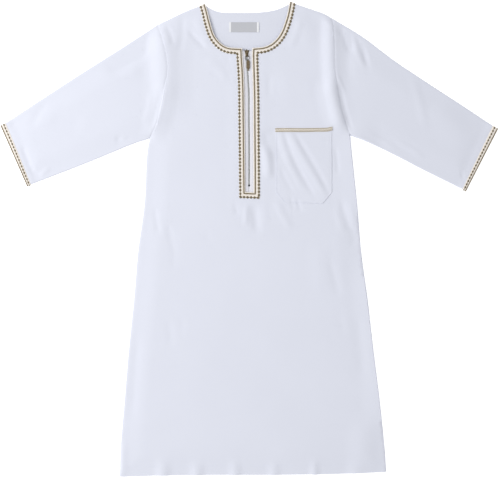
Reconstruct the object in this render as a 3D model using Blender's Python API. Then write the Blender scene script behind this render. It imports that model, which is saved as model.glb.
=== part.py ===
"""Child's thobe robe, laid flat with its front up.

Garment places are millimetres from the centre front line (x, wearer's left positive) and up from the hem
(y). Heights are millimetres over the floor that the back lies on. The finished pieces are moved once, so
that the middle of the robe's box is over the origin, and turned into metres.
"""
import math
from collections import namedtuple

import bmesh
import bpy
import numpy as np
from mathutils import Vector
from mathutils.geometry import delaunay_2d_cdt

METRES = 0.001

# Walls and gaps
CLOTH = 1.2
TRIM = 1.0
SEAM = 0.3
FRONT_REST = CLOTH + SEAM

# How the upper cloth stands off the lower one
AIR = 2.6
AIR_RUN = 48.0
FOLD_RUN = 14.0
PLACKET_LEVEL = 4.5
PLACKET_FLAT = 15.0
PLACKET_RUN = 24.0

# Body outline
Side = namedtuple("Side", "y left right")
SIDES = [
    Side(y=640, left=-205, right=207),
    Side(y=544, left=-210, right=217),
    Side(y=448, left=-223, right=225),
    Side(y=352, left=-231, right=238),
    Side(y=256, left=-241, right=249),
    Side(y=160, left=-249, right=261),
    Side(y=64, left=-257, right=271),
]
HEM = [(-260, -1), (-165, 2), (-67, 3), (35, 3), (135, 4), (205, 6), (275, 9)]
SHOULDER_LEFT = [(-91, 945), (-133, 928), (-183, 904)]
SHOULDER_RIGHT = [(86, 948), (145, 928), (166, 917)]
ARMHOLE_LEFT = [(-183, 904), (-171, 866), (-165, 838), (-163, 810), (-170, 776), (-178, 738), (-186, 704),
                (-199, 676)]
ARMHOLE_RIGHT = [(166, 917), (170, 890), (171, 850), (172, 816), (177, 782), (183, 746), (192, 712),
                 (203, 682)]

# Sleeve outline, from the armhole to the cuff
SLEEVE_TOP_LEFT = [(-183, 904), (-257, 856), (-333, 808), (-407, 760), (-497, 701)]
SLEEVE_UNDER_LEFT = [(-199, 676), (-235, 664), (-293, 640), (-353, 616), (-444, 581)]
SLEEVE_TOP_RIGHT = [(166, 917), (227, 880), (291, 832), (363, 784), (435, 737), (498, 695)]
SLEEVE_UNDER_RIGHT = [(203, 682), (247, 664), (297, 640), (343, 616), (434, 571)]
CUFF_BRAID = 10.0
CUFF_LIFT = SEAM + TRIM
CUFF_RUN = 16.0
SLEEVE_GAP = 1.2 * SEAM
ROUND_OUTER = 1.1
ROUND_INNER = 2.2
FOLD_INNER = 1.3

# Neck: the gold edge cord of the braid runs on these lines, round the neck and down each side of the slit
NECK_LEFT = [(-92, 952), (-90, 943), (-86, 930), (-81, 909), (-73, 884), (-64, 870), (-54, 861),
             (-42, 855.5), (-28, 854), (-16.5, 853.5)]
NECK_RIGHT = [(84.5, 956), (83.5, 946), (81, 932), (77.5, 917), (73, 903), (68, 890), (59.5, 876),
              (48.5, 865), (37, 858.5), (26, 855.5), (9.4, 854)]
SLIT_LEFT = [(-16.5, 853.5), (-15.4, 832), (-13.6, 806), (-12.4, 770), (-11.6, 700), (-10.8, 620),
             (-10.2, 566)]
SLIT_RIGHT = [(9.4, 854), (9.2, 836), (10.2, 800), (11.2, 760), (11.6, 700), (12.2, 620), (12.4, 565)]
BRAID_IN = 2.5
BRAID_OUT = 10.2
OUTLINE_TOLERANCE = 0.25
BACK_NECK = [(86, 948), (58, 934), (15, 927), (-51, 927), (-78, 937), (-91, 945)]

# Pocket and its trim
POCKET_LEFT = 53.0
POCKET_RIGHT = 166.0
POCKET_FOOT = 546.0
POCKET_TOP_LEFT = 696.0
POCKET_TOP_RIGHT = 698.0
POCKET_CUT = (18.0, 22.0)
POCKET_TRIM = 8.0

# Zip
ZIP_TOP = 851.0
TAPE_UNDER = 5.0
TAPE_FOOT = 558.0
CHAIN_LINE = [(-4.2, 843), (-2.5, 806), (-1.2, 784), (-0.2, 764), (-0.1, 720), (0.4, 670), (0.4, 610),
              (0.2, 584)]
CHAIN_WIDE = 3.6
CHAIN_DEEP = 2.2
CHAIN_TOP = PLACKET_LEVEL - SEAM - 0.5 * TRIM + 0.5 * CHAIN_DEEP
TAPE_TOP = PLACKET_LEVEL - SEAM
STOP_LONG = 3.4
STOP_DEEP = 2.8
STOP_RISE = 0.3
STOP_ROOM = 2.0
STOP_NOTCH = 0.6
STOP_HALF = [(0.0, 1.7), (2.1, 1.7), (2.1, -1.0), (1.3, -1.7), (0.0, -1.7)]

# Slider, from its own middle: right half of its plates and of the post between them, x and y
SLIDER_AT = (-4.4, 846.8)
SLIDER_PLATE = 0.7
PLATE_HALF = [(0.0, 7.2), (1.3, 5.4), (2.6, 4.8), (3.5, 6.2), (4.4, 5.6), (4.3, 3.4), (2.9, -2.4),
              (2.7, -6.6), (1.9, -7.6), (0.0, -7.6)]
POST_HALF = [(0.0, 6.0), (1.1, 4.4), (0.5, 3.2), (0.0, 3.2)]
POST_IN = 0.2

# Bridge over the slider's pin place: its outline from the pin, y and z
PIN_BACK = 5.0
PIN_RISE = 0.9
BRIDGE_WIDE = 1.6
BRIDGE_ARCH = [(-2.4, -1.2), (-1.5, -1.2), (-1.5, 0.7), (-0.8, 1.4), (2.7, 1.4), (3.4, 0.7), (3.4, -1.2),
               (4.3, -1.2), (4.3, 1.2), (3.0, 2.3), (-1.1, 2.3), (-2.4, 1.2)]

# Pull, from the pin: ring, and right half of the tab with its knob, x and y
RING_WIDE = 3.8
RING_TALL = 4.9
RING_WIRE = 0.6
RING_SHIFT = 0.8
RING_TURNS = 24
RING_SIDES = 8
TAB_SHIFT = 2.6
TAB_DEEP = 1.2
TAB_HALF = [(0.0, -9.6), (1.5, -9.6), (3.3, -12.4), (3.3, -25.4), (2.3, -26.6), (1.0, -26.6), (1.0, -27.5),
            (1.7, -28.4), (1.7, -29.6), (0.8, -30.6), (0.0, -30.6)]
PULL_DROOP = math.radians(1.8)

SHARP = math.radians(35)

# Label inside the back neck
LABEL_X = (-40.0, 20.0)
LABEL_Y = (889.0, 909.0)

# How closely curves and panels are divided
CURVE_PARTS = 16
CORNER_SLACK = 0.08
FINE_STEP = 2.0
NECK_STEP = 4.0
CREASE_STEP = 8.0
HEM_STEP = 10.0
CHAIN_STEP = 20.0
SIDE_STEP = 27.0
OUTLINE_STEP = 30.0
ROW_STEP = 0.87
CHEST_STEP = 17.0
SKIRT_STEP = 34.0
CHEST_FOOT = 500.0
CHEST_TOP = 950.0
PANEL_TOP = 940.0
SKIRT_FOOT = 30.0
EDGE_STEP = 17.0
BACK_STEP = 90.0
BACK_CLEAR = 27.0
FOLD_STEP = 12.0
ARMHOLE_PARTS = 13
POINT_GAP = 6.0
LINE_GAP = 4.0
PACKED = 0.72
FOLD_SIDES = (0.0, 0.55, -0.55, 1.05, -1.05)
RIPPLE_SIDES = (0.0, 0.5, -0.5, 1.0, -1.0)
RIPPLE_ROWS = (0.42, 1.0)
FOLD_FADE = 0.28
CUFF_CLEAR = 35.0
CUFF_MIDDLE = 4.0
SLEEVE_STATIONS = [0, 9, 18, 27, 37, 48, 62, 80, 104, 132, 164, 200, 236]

# Largest folds: a curve through three places, half its width, and its height (a trough is negative)
Fold = namedtuple("Fold", "name start middle end width height")
FOLDS = [
    Fold("placket shade", (25, 682), (33, 666), (40, 650), 9, -2.2),
    Fold("placket rise", (25, 654), (31, 632), (39, 598), 9, 1.9),
    Fold("pocket edge", (43, 676), (46, 636), (52, 594), 9, -3.0),
    Fold("pocket rise one", (57, 684), (58, 648), (66, 606), 10, 2.0),
    Fold("pocket trough one", (64, 684), (77, 642), (114, 570), 9, -2.4),
    Fold("pocket rise two", (80, 680), (104, 628), (149, 556), 10, 2.3),
    Fold("pocket trough two", (90, 680), (116, 638), (156, 568), 10, -2.3),
    Fold("pocket trough low", (65, 622), (72, 592), (84, 566), 9, -1.4),
    Fold("under pocket", (95, 556), (100, 542), (104, 526), 8, -1.1),
    Fold("gather left soft", (-33, 556), (-28, 534), (-26, 508), 14, -1.5),
    Fold("gather left", (-8, 558), (-9, 534), (-12, 504), 9, 1.8),
    Fold("gather middle", (4, 558), (4, 534), (8, 504), 8, -2.0),
    Fold("gather right", (18, 556), (22, 534), (28, 504), 9, 2.2),
    Fold("waist right trough", (180, 538), (187, 518), (198, 490), 11, -2.1),
    Fold("waist right rise", (190, 548), (202, 522), (210, 488), 9, 2.0),
    Fold("waist left rise", (-186, 542), (-177, 514), (-168, 486), 9, 2.0),
    Fold("waist left trough", (-168, 514), (-161, 490), (-154, 462), 10, -1.9),
    Fold("shoulder left trough", (-130, 922), (-139, 882), (-151, 832), 14, -2.0),
    Fold("armhole left trough", (-153, 834), (-149, 788), (-143, 746), 17, -2.3),
    Fold("shoulder left wedge", (-154, 908), (-152, 888), (-153, 864), 9, 1.4),
    Fold("collar left rise", (-122, 916), (-104, 894), (-84, 858), 15, 1.7),
    Fold("collar left trough", (-114, 886), (-100, 870), (-84, 850), 10, -1.2),
    Fold("sleeve left rise", (-193, 890), (-185, 852), (-182, 796), 16, 2.2),
    Fold("sleeve left trough", (-214, 884), (-219, 852), (-226, 822), 16, -2.1),
    Fold("armhole left seam", (-174, 772), (-181, 736), (-196, 688), 7, 2.0),
    Fold("sleeve left pit", (-186, 762), (-192, 732), (-205, 694), 10, -2.4),
    Fold("cuff left crease", (-437, 616), (-431, 603), (-416, 600), 8, -1.3),
    Fold("shoulder right dip", (153, 918), (168, 904), (180, 884), 9, -1.8),
    Fold("armhole right upper", (157, 890), (159, 832), (166, 776), 13, 2.5),
    Fold("armhole right lower", (171, 778), (181, 736), (196, 694), 12, 2.8),
    Fold("sleeve right pit", (184, 776), (193, 732), (208, 690), 10, -3.0),
    Fold("sleeve right shade", (184, 892), (187, 852), (190, 800), 11, -1.7),
    Fold("sleeve right rise", (199, 896), (207, 856), (232, 810), 10, 2.0),
    Fold("sleeve right trough", (208, 894), (219, 858), (238, 816), 10, -1.6),
]

# Ripples of the front's hem: place, half width, height at the hem, and how far up they run
Ripple = namedtuple("Ripple", "x width height run")
RIPPLES = [
    Ripple(x=-171, width=20, height=2.0, run=36),
    Ripple(x=-101, width=18, height=2.2, run=34),
    Ripple(x=-25, width=19, height=1.6, run=36),
    Ripple(x=53, width=19, height=1.8, run=36),
    Ripple(x=133, width=15, height=2.4, run=34),
    Ripple(x=200, width=20, height=1.2, run=30),
]

# Finishes: colour, roughness, metallic
Finish = namedtuple("Finish", "colour roughness metallic")
FINISHES = {
    "white_cloth": Finish((0.76, 0.79, 0.86), 0.85, 0.0),
    "gold_braid": Finish((0.42, 0.30, 0.12), 0.45, 0.3),
    "tape": Finish((0.72, 0.74, 0.80), 0.9, 0.0),
    "silver_teeth": Finish((0.42, 0.43, 0.43), 0.4, 0.9),
    "brass": Finish((0.22, 0.15, 0.07), 0.4, 0.9),
    "dark_metal": Finish((0.06, 0.07, 0.08), 0.4, 0.8),
    "label": Finish((0.80, 0.80, 0.82), 0.7, 0.0),
}

Plan = namedtuple("Plan", "points triangles")
Piece = namedtuple("Piece", "name finish points faces")


def ease(value):
    """Smooth step from 0 to 1."""
    held = np.clip(value, 0.0, 1.0)
    return held * held * (3.0 - 2.0 * held)


def smooth_line(places, step):
    """Points on a smooth curve through the places, about one step apart, the ends kept."""
    knots = np.array(places, dtype=float)
    ends = np.vstack([2 * knots[0] - knots[1], knots, 2 * knots[-1] - knots[-2]])
    fine = []
    for before, start, end, after in zip(ends[:-3], ends[1:-2], ends[2:-1], ends[3:]):
        for part in np.linspace(0.0, 1.0, CURVE_PARTS, endpoint=False):
            fine.append(0.5 * (2 * start + (end - before) * part
                               + (2 * before - 5 * start + 4 * end - after) * part ** 2
                               + (3 * start - before - 3 * end + after) * part ** 3))
    fine.append(knots[-1])
    fine = np.array(fine)
    parts = max(1, round(length_of(fine) / step))
    return along(fine, np.linspace(0.0, 1.0, parts + 1))


def length_of(line):
    """Length of a line of points."""
    return float(np.linalg.norm(np.diff(line, axis=0), axis=1).sum())


def along(line, shares):
    """Places on a line of points at the given shares of its length."""
    runs = np.concatenate([[0.0], np.cumsum(np.linalg.norm(np.diff(line, axis=0), axis=1))])
    wanted = np.asarray(shares) * runs[-1]
    return np.column_stack([np.interp(wanted, runs, line[:, axis]) for axis in range(line.shape[1])])


def near_line(line, points):
    """Distance from each point to a line, and the share of the line's length at the nearest place."""
    line = np.asarray(line, dtype=float)
    total = length_of(line)
    best = np.full(len(points), np.inf)
    share = np.zeros(len(points))
    done = 0.0
    for start, end in zip(line[:-1], line[1:]):
        step = end - start
        size = float(np.linalg.norm(step))
        if size == 0.0:
            continue
        part = np.clip((points - start) @ step / size ** 2, 0.0, 1.0)
        gap = np.linalg.norm(points - start - part[:, None] * step, axis=1)
        closer = gap < best
        best[closer] = gap[closer]
        share[closer] = (done + part[closer] * size) / total
        done += size
    return best, share


def inside(loop, points):
    """Which points lie inside a closed loop."""
    loop = np.asarray(loop, dtype=float)
    result = np.zeros(len(points), dtype=bool)
    for (x_a, y_a), (x_b, y_b) in zip(loop, np.roll(loop, -1, axis=0)):
        if y_a == y_b:
            continue
        spans = (points[:, 1] < max(y_a, y_b)) & (points[:, 1] >= min(y_a, y_b))
        cross = x_a + (points[:, 1] - y_a) * (x_b - x_a) / (y_b - y_a)
        result ^= spans & (points[:, 0] < cross)
    return result


def beside(line, distance):
    """The line moved sideways to its left, cut back where a corner would make it cross itself."""
    fine = along(np.asarray(line, dtype=float), np.linspace(0.0, 1.0, int(length_of(np.asarray(line))) + 1))
    heading = np.gradient(fine, axis=0)
    heading /= np.linalg.norm(heading, axis=1)[:, None]
    moved = fine + distance * np.column_stack([-heading[:, 1], heading[:, 0]])
    gap, _ = near_line(fine, moved)
    return moved[gap > abs(distance) - CORNER_SLACK]


def thinned(line, tolerance):
    """The line with the points that it doesn't need left out."""
    line = np.asarray(line, dtype=float)
    if len(line) < 3:
        return line
    gap, _ = near_line(line[[0, -1]], line)
    worst = int(np.argmax(gap))
    if gap[worst] <= tolerance:
        return line[[0, -1]]
    return np.vstack([thinned(line[:worst + 1], tolerance)[:-1], thinned(line[worst:], tolerance)])


def divided(line, step):
    """The line's own corners, with its long runs cut into steps."""
    points = [line[0]]
    for start, end in zip(line[:-1], line[1:]):
        parts = max(1, round(float(np.linalg.norm(end - start)) / step))
        points += [start + (end - start) * part / parts for part in range(1, parts + 1)]
    return np.array(points)


def body_lines():
    """The seam lines and edges that front and back share, each from top to bottom or left to right."""
    left_side = [ARMHOLE_LEFT[-1]] + [(row.left, row.y) for row in SIDES] + [HEM[0]]
    right_side = [ARMHOLE_RIGHT[-1]] + [(row.right, row.y) for row in SIDES] + [HEM[-1]]
    shares = np.linspace(0.0, 1.0, ARMHOLE_PARTS + 1)
    return {
        "shoulder left": smooth_line(SHOULDER_LEFT, EDGE_STEP),
        "shoulder right": smooth_line(SHOULDER_RIGHT, EDGE_STEP),
        "armhole left": along(smooth_line(ARMHOLE_LEFT, FINE_STEP), shares),
        "armhole right": along(smooth_line(ARMHOLE_RIGHT, FINE_STEP), shares),
        "side left": smooth_line(left_side, SIDE_STEP),
        "side right": smooth_line(right_side, SIDE_STEP),
        "hem": smooth_line(HEM, HEM_STEP),
    }


def body_loop(lines, neck):
    """Closed outline of a body panel, counter-clockwise from the left neck point."""
    runs = [lines["shoulder left"], lines["armhole left"], lines["side left"], lines["hem"],
            lines["side right"][::-1], lines["armhole right"][::-1], lines["shoulder right"][::-1], neck]
    return np.vstack([run[:-1] for run in runs])


def cord_line():
    """The braid's gold edge cord, from the right shoulder round the slit to the left shoulder."""
    right = smooth_line(NECK_RIGHT, NECK_STEP)
    left = smooth_line(NECK_LEFT, NECK_STEP)
    slit = np.array(SLIT_RIGHT[1:] + SLIT_LEFT[:0:-1], dtype=float)
    return np.vstack([right, slit, left[::-1]])


def silhouette():
    """Outer outline of body and sleeves, without the neck."""
    lines = body_lines()
    left_cuff = np.array([SLEEVE_TOP_LEFT[-1], SLEEVE_UNDER_LEFT[-1]], dtype=float)
    right_cuff = np.array([SLEEVE_UNDER_RIGHT[-1], SLEEVE_TOP_RIGHT[-1]], dtype=float)
    return np.vstack([
        lines["shoulder left"], smooth_line(SLEEVE_TOP_LEFT, OUTLINE_STEP), left_cuff,
        smooth_line(SLEEVE_UNDER_LEFT, OUTLINE_STEP)[::-1], lines["side left"], lines["hem"],
        lines["side right"][::-1], smooth_line(SLEEVE_UNDER_RIGHT, OUTLINE_STEP), right_cuff,
        smooth_line(SLEEVE_TOP_RIGHT, OUTLINE_STEP)[::-1], lines["shoulder right"][::-1],
    ])


OUTLINE = silhouette()
CORD = cord_line()
SLIT = np.array(SLIT_LEFT + SLIT_RIGHT[::-1], dtype=float)


def fold_heights(points):
    """Sum of the folds at each place."""
    total = np.zeros(len(points))
    for fold in FOLDS:
        spine = smooth_line([fold.start, fold.middle, fold.end], CREASE_STEP)
        gap, share = near_line(spine, points)
        bump = 0.5 + 0.5 * np.cos(math.pi * np.clip(gap / fold.width, 0.0, 1.0))
        total += fold.height * bump * ease(np.minimum(share, 1.0 - share) / FOLD_FADE)
    return total


def ripple_heights(points):
    """Sum of the hem's ripples at each place."""
    total = np.zeros(len(points))
    for ripple in RIPPLES:
        off = np.clip(np.abs(points[:, 0] - ripple.x) / ripple.width, 0.0, 1.0)
        bump = 0.5 + 0.5 * np.cos(math.pi * off)
        total += ripple.height * bump * (1.0 - ease(points[:, 1] / ripple.run))
    return total


def cloth_level(points):
    """Height of the upper cloth's underside at each place."""
    points = np.asarray(points, dtype=float)
    edge, _ = near_line(OUTLINE, points)
    air = AIR * ease(edge / AIR_RUN)
    level = FRONT_REST + air + fold_heights(points) * ease(edge / FOLD_RUN) + ripple_heights(points)
    to_slit, _ = near_line(SLIT, points)
    in_slit = inside(SLIT, points)
    held = 1.0 - ease((np.where(in_slit, 0.0, to_slit) - PLACKET_FLAT) / PLACKET_RUN)
    return np.maximum(level * (1.0 - held) + PLACKET_LEVEL * held, FRONT_REST)


def staggered(loop, step, low, high):
    """Rows of points inside a loop between two heights, each row set off by half a step."""
    loop = np.asarray(loop)
    left, right = loop[:, 0].min(), loop[:, 0].max()
    rows = np.arange(low + step / 2, high, step * ROW_STEP)
    points = [(x, y) for number, y in enumerate(rows)
              for x in np.arange(left + step * (0.5 + 0.5 * (number % 2)), right, step)]
    points = np.array(points)
    return points[inside(loop, points)]


def fold_points():
    """Points on and beside each fold, so that the panel's facets follow it."""
    points = []
    for fold in FOLDS:
        spine = smooth_line([fold.start, fold.middle, fold.end], FOLD_STEP)
        heading = np.gradient(spine, axis=0)
        heading /= np.linalg.norm(heading, axis=1)[:, None]
        across = np.column_stack([-heading[:, 1], heading[:, 0]])
        for side in FOLD_SIDES:
            points.append(spine + across * side * fold.width)
    return np.vstack(points)


def ripple_points():
    """Points on and beside each hem ripple."""
    points = []
    for ripple in RIPPLES:
        for side in RIPPLE_SIDES:
            for row in RIPPLE_ROWS:
                points.append((ripple.x + side * ripple.width, ripple.run * row))
    return np.array(points)


def spaced(points, kept, distance):
    """The points that stay clear of those kept before and of each other."""
    clear = list(kept)
    for point in points:
        near = np.asarray(clear)
        if len(near) == 0 or np.min(np.hypot(near[:, 0] - point[0], near[:, 1] - point[1])) >= distance:
            clear.append(point)
    return np.array(clear)


def lay_plan(lines, inner):
    """Triangles over a flat plan that keep every given line as edges."""
    points = []
    edges = []
    for line in lines:
        first = len(points)
        points += [Vector((float(x), float(y))) for x, y in line]
        edges += [(first + number, first + number + 1) for number in range(len(line) - 1)]
    points += [Vector((float(x), float(y))) for x, y in inner]
    result = delaunay_2d_cdt(points, edges, [], 0, 1e-3, False)
    places = np.array([(point.x, point.y) for point in result[0]])
    return Plan(places, np.array([face for face in result[2] if len(face) == 3]))


def chosen(plan, loop):
    """The plan's triangles whose middles lie inside a loop."""
    middles = plan.points[plan.triangles].mean(axis=1)
    return plan.triangles[inside(loop, middles)]


def wall(plan, triangles, low, high):
    """Closed wall over the triangles, between two heights given at each of the plan's points."""
    used = sorted(set(triangles.ravel().tolist()))
    place = {old: new for new, old in enumerate(used)}
    count = len(used)
    points = [(*plan.points[old], low[old]) for old in used]
    points += [(*plan.points[old], high[old]) for old in used]
    faces = []
    directed = set()
    for triangle in triangles.tolist():
        a, b, c = (place[old] for old in triangle)
        (x_a, y_a), (x_b, y_b), (x_c, y_c) = (points[number][:2] for number in (a, b, c))
        if (x_b - x_a) * (y_c - y_a) - (x_c - x_a) * (y_b - y_a) < 0.0:
            b, c = c, b
        faces.append((a + count, b + count, c + count))
        faces.append((c, b, a))
        directed |= {(a, b), (b, c), (c, a)}
    faces += [(a, b, b + count, a + count) for a, b in sorted(directed) if (b, a) not in directed]
    return points, faces


def prism(outline, low, high):
    """Upright solid over a counter-clockwise outline."""
    count = len(outline)
    points = [(x, y, low) for x, y in outline] + [(x, y, high) for x, y in outline]
    faces = [tuple(range(count, 2 * count)), tuple(reversed(range(count)))]
    faces += [(number, (number + 1) % count, (number + 1) % count + count, number + count)
              for number in range(count)]
    return points, faces


def pocket_loop():
    """Pocket outline, counter-clockwise from its top left corner."""
    cut_x, cut_y = POCKET_CUT
    return np.array([
        (POCKET_LEFT, POCKET_TOP_LEFT),
        (POCKET_LEFT, POCKET_FOOT + cut_y), (POCKET_LEFT + cut_x, POCKET_FOOT),
        (POCKET_RIGHT - cut_x, POCKET_FOOT), (POCKET_RIGHT, POCKET_FOOT + cut_y),
        (POCKET_RIGHT, POCKET_TOP_RIGHT), (POCKET_LEFT, POCKET_TOP_LEFT),
    ])


def mirrored(half):
    """Whole counter-clockwise outline from its right half, given from the top of the middle line down."""
    return [(-x, y) for x, y in half] + [(x, y) for x, y in half[-2:0:-1]]


def front_pieces():
    """Front panel, neck braid, pocket and pocket trim, all from one plan."""
    lines = body_lines()
    edge = thinned(beside(CORD, -BRAID_IN), OUTLINE_TOLERANCE)
    border = thinned(beside(CORD, BRAID_OUT), OUTLINE_TOLERANCE)
    neck = divided(edge, EDGE_STEP)
    right_end, left_end = lines["shoulder right"][0], lines["shoulder left"][0]
    panel_neck = np.vstack([right_end, neck[neck[:, 1] < PANEL_TOP], left_end])
    loop = body_loop(lines, panel_neck)
    braid_edge = np.vstack([neck, divided(border, EDGE_STEP)[::-1]])
    pocket = divided(pocket_loop(), EDGE_STEP)
    trim = divided(np.array([(POCKET_LEFT, POCKET_TOP_LEFT - POCKET_TRIM),
                             (POCKET_RIGHT, POCKET_TOP_RIGHT - POCKET_TRIM)]), EDGE_STEP)
    fixed = [np.vstack([loop, loop[:1]]), divided(border, EDGE_STEP), pocket, trim]

    inner = np.vstack([fold_points(), ripple_points()])
    inner = inner[inside(loop, inner)]
    inner = spaced(inner, [], POINT_GAP)
    chest = staggered(loop, CHEST_STEP, CHEST_FOOT, CHEST_TOP)
    skirt = staggered(loop, SKIRT_STEP, SKIRT_FOOT, CHEST_FOOT)
    inner = spaced(chest, inner, PACKED * CHEST_STEP)
    inner = spaced(skirt, inner, PACKED * SKIRT_STEP)
    clear = np.min([near_line(line, inner)[0] for line in fixed], axis=0)
    plan = lay_plan(fixed, inner[clear > LINE_GAP])

    level = cloth_level(plan.points)
    top = level + CLOTH
    whole = chosen(plan, loop)
    panel = Plan(plan.points, whole)
    on_pocket = chosen(panel, pocket)
    trim_loop = np.vstack([trim, (POCKET_RIGHT, POCKET_TOP_RIGHT), (POCKET_LEFT, POCKET_TOP_LEFT)])
    on_trim = chosen(Plan(plan.points, on_pocket), trim_loop)
    on_braid = chosen(panel, braid_edge)
    return [
        Piece("front", "white_cloth", *wall(plan, whole, level, top)),
        Piece("neck_braid", "gold_braid", *wall(plan, on_braid, top + SEAM, top + SEAM + TRIM)),
        Piece("pocket", "white_cloth", *wall(plan, on_pocket, top + SEAM, top + SEAM + TRIM)),
        Piece("pocket_braid", "gold_braid",
              *wall(plan, on_trim, top + 2 * SEAM + TRIM, top + 2 * SEAM + 2 * TRIM)),
    ]


def back_piece():
    """Back panel, flat on the floor."""
    lines = body_lines()
    loop = body_loop(lines, smooth_line(BACK_NECK, EDGE_STEP))
    border = np.vstack([loop, loop[:1]])
    inner = staggered(loop, BACK_STEP, 0.0, PANEL_TOP)
    inner = inner[near_line(border, inner)[0] > BACK_CLEAR]
    plan = lay_plan([border], inner)
    zeros = np.zeros(len(plan.points))
    return Piece("back", "white_cloth", *wall(plan, chosen(plan, loop), zeros, zeros + CLOTH))


def sleeve_rings(armhole, top_edge, under_edge, outward):
    """Rings of a flattened sleeve from armhole to cuff: outer and inner loops of points at each station."""
    start = armhole + np.array([SLEEVE_GAP * outward, 0.0])
    top_line = smooth_line([tuple(start[0])] + top_edge[1:], NECK_STEP)
    under_line = smooth_line([tuple(start[-1])] + under_edge[1:], NECK_STEP)
    reach = 0.5 * (length_of(top_line) + length_of(under_line))
    stations = [mark for mark in SLEEVE_STATIONS if mark < reach - CUFF_CLEAR]
    stations += [reach - CUFF_BRAID - CUFF_RUN, reach - CUFF_BRAID, reach - CUFF_MIDDLE, reach]
    cuff = np.array([top_line[-1], under_line[-1]])
    shares = np.linspace(0.0, 1.0, len(armhole))
    rings = []
    for mark in stations:
        part = mark / reach
        lift = CUFF_LIFT * float(ease((mark - (reach - CUFF_BRAID - CUFF_RUN)) / CUFF_RUN))
        top_place = along(top_line, [part])[0]
        under_place = along(under_line, [part])[0]

        def place(share):
            """Point of this ring at a share of the way from the top edge to the under edge."""
            across = (1 - share) * top_place + share * under_place
            ends = (1 - part) * (along(start, [share])[0] - (1 - share) * start[0] - share * start[-1])
            closed = part * (along(cuff, [share])[0] - (1 - share) * cuff[0] - share * cuff[1])
            return across + ends + closed

        wide = float(np.linalg.norm(under_place - top_place))
        mid = 0.5 * (CLOTH + FRONT_REST)
        outer_shares = np.concatenate([[ROUND_OUTER / wide], shares[1:-1], [1.0 - ROUND_OUTER / wide]])
        inner_shares = np.concatenate([[ROUND_INNER / wide], shares[1:-1], [1.0 - ROUND_INNER / wide]])
        outer_places = np.array([place(share) for share in outer_shares])
        inner_places = np.array([place(share) for share in inner_shares])
        outer_level = cloth_level(outer_places) + lift
        inner_level = cloth_level(inner_places) + lift
        outer = [(*place(0.0), mid + lift)]
        outer += [(*spot, level + CLOTH) for spot, level in zip(outer_places, outer_level)]
        outer += [(*place(1.0), mid + lift)]
        outer += [(*spot, lift) for spot in outer_places[::-1]]
        inner = [(*place(FOLD_INNER / wide), mid + lift)]
        inner += [(*spot, level) for spot, level in zip(inner_places, inner_level)]
        inner += [(*place(1.0 - FOLD_INNER / wide), mid + lift)]
        inner += [(*spot, CLOTH + lift) for spot in inner_places[::-1]]
        rings.append((np.array(outer), np.array(inner)))
    return rings


def tube(loops_out, loops_in, flip):
    """Closed tube wall from matching outer and inner loops, open at both ends."""
    count = len(loops_out[0])
    depth = len(loops_out)
    points = [tuple(point) for loop in loops_out for point in loop]
    points += [tuple(point) for loop in loops_in for point in loop]
    shift = count * depth
    faces = []
    for row in range(depth - 1):
        for number in range(count):
            after = (number + 1) % count
            a, b = row * count + number, row * count + after
            c, d = b + count, a + count
            faces.append((a, b, c, d))
            faces.append((shift + d, shift + c, shift + b, shift + a))
    last = (depth - 1) * count
    for number in range(count):
        after = (number + 1) % count
        faces.append((after, number, shift + number, shift + after))
        faces.append((last + number, last + after, shift + last + after, shift + last + number))
    if flip:
        faces = [tuple(reversed(face)) for face in faces]
    return points, faces


def moved_out(ring, distance):
    """A sleeve's outer loop moved out of the cloth: up, down, and sideways at the two edges."""
    half = (len(ring) - 2) // 2
    result = ring.copy()
    across = ring[half + 1, :2] - ring[0, :2]
    across /= np.linalg.norm(across)
    result[1:half + 1, 2] += distance
    result[half + 2:, 2] -= distance
    result[0, :2] -= across * distance
    result[half + 1, :2] += across * distance
    return result


def sleeve_pieces(side, armhole, top_edge, under_edge, outward):
    """One sleeve and its cuff braid."""
    rings = sleeve_rings(armhole, top_edge, under_edge, outward)
    flip = outward > 0
    sleeve = tube([outer for outer, _ in rings], [inner for _, inner in rings], flip)
    ends = [outer for outer, _ in rings[-3:]]
    faced = [moved_out(ring, SEAM + TRIM) for ring in ends]
    braid = tube(faced, [moved_out(ring, SEAM) for ring in ends], flip)
    return [
        Piece("sleeve_" + side, "white_cloth", *sleeve),
        Piece("cuff_braid_" + side, "gold_braid", *braid),
    ]


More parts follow.
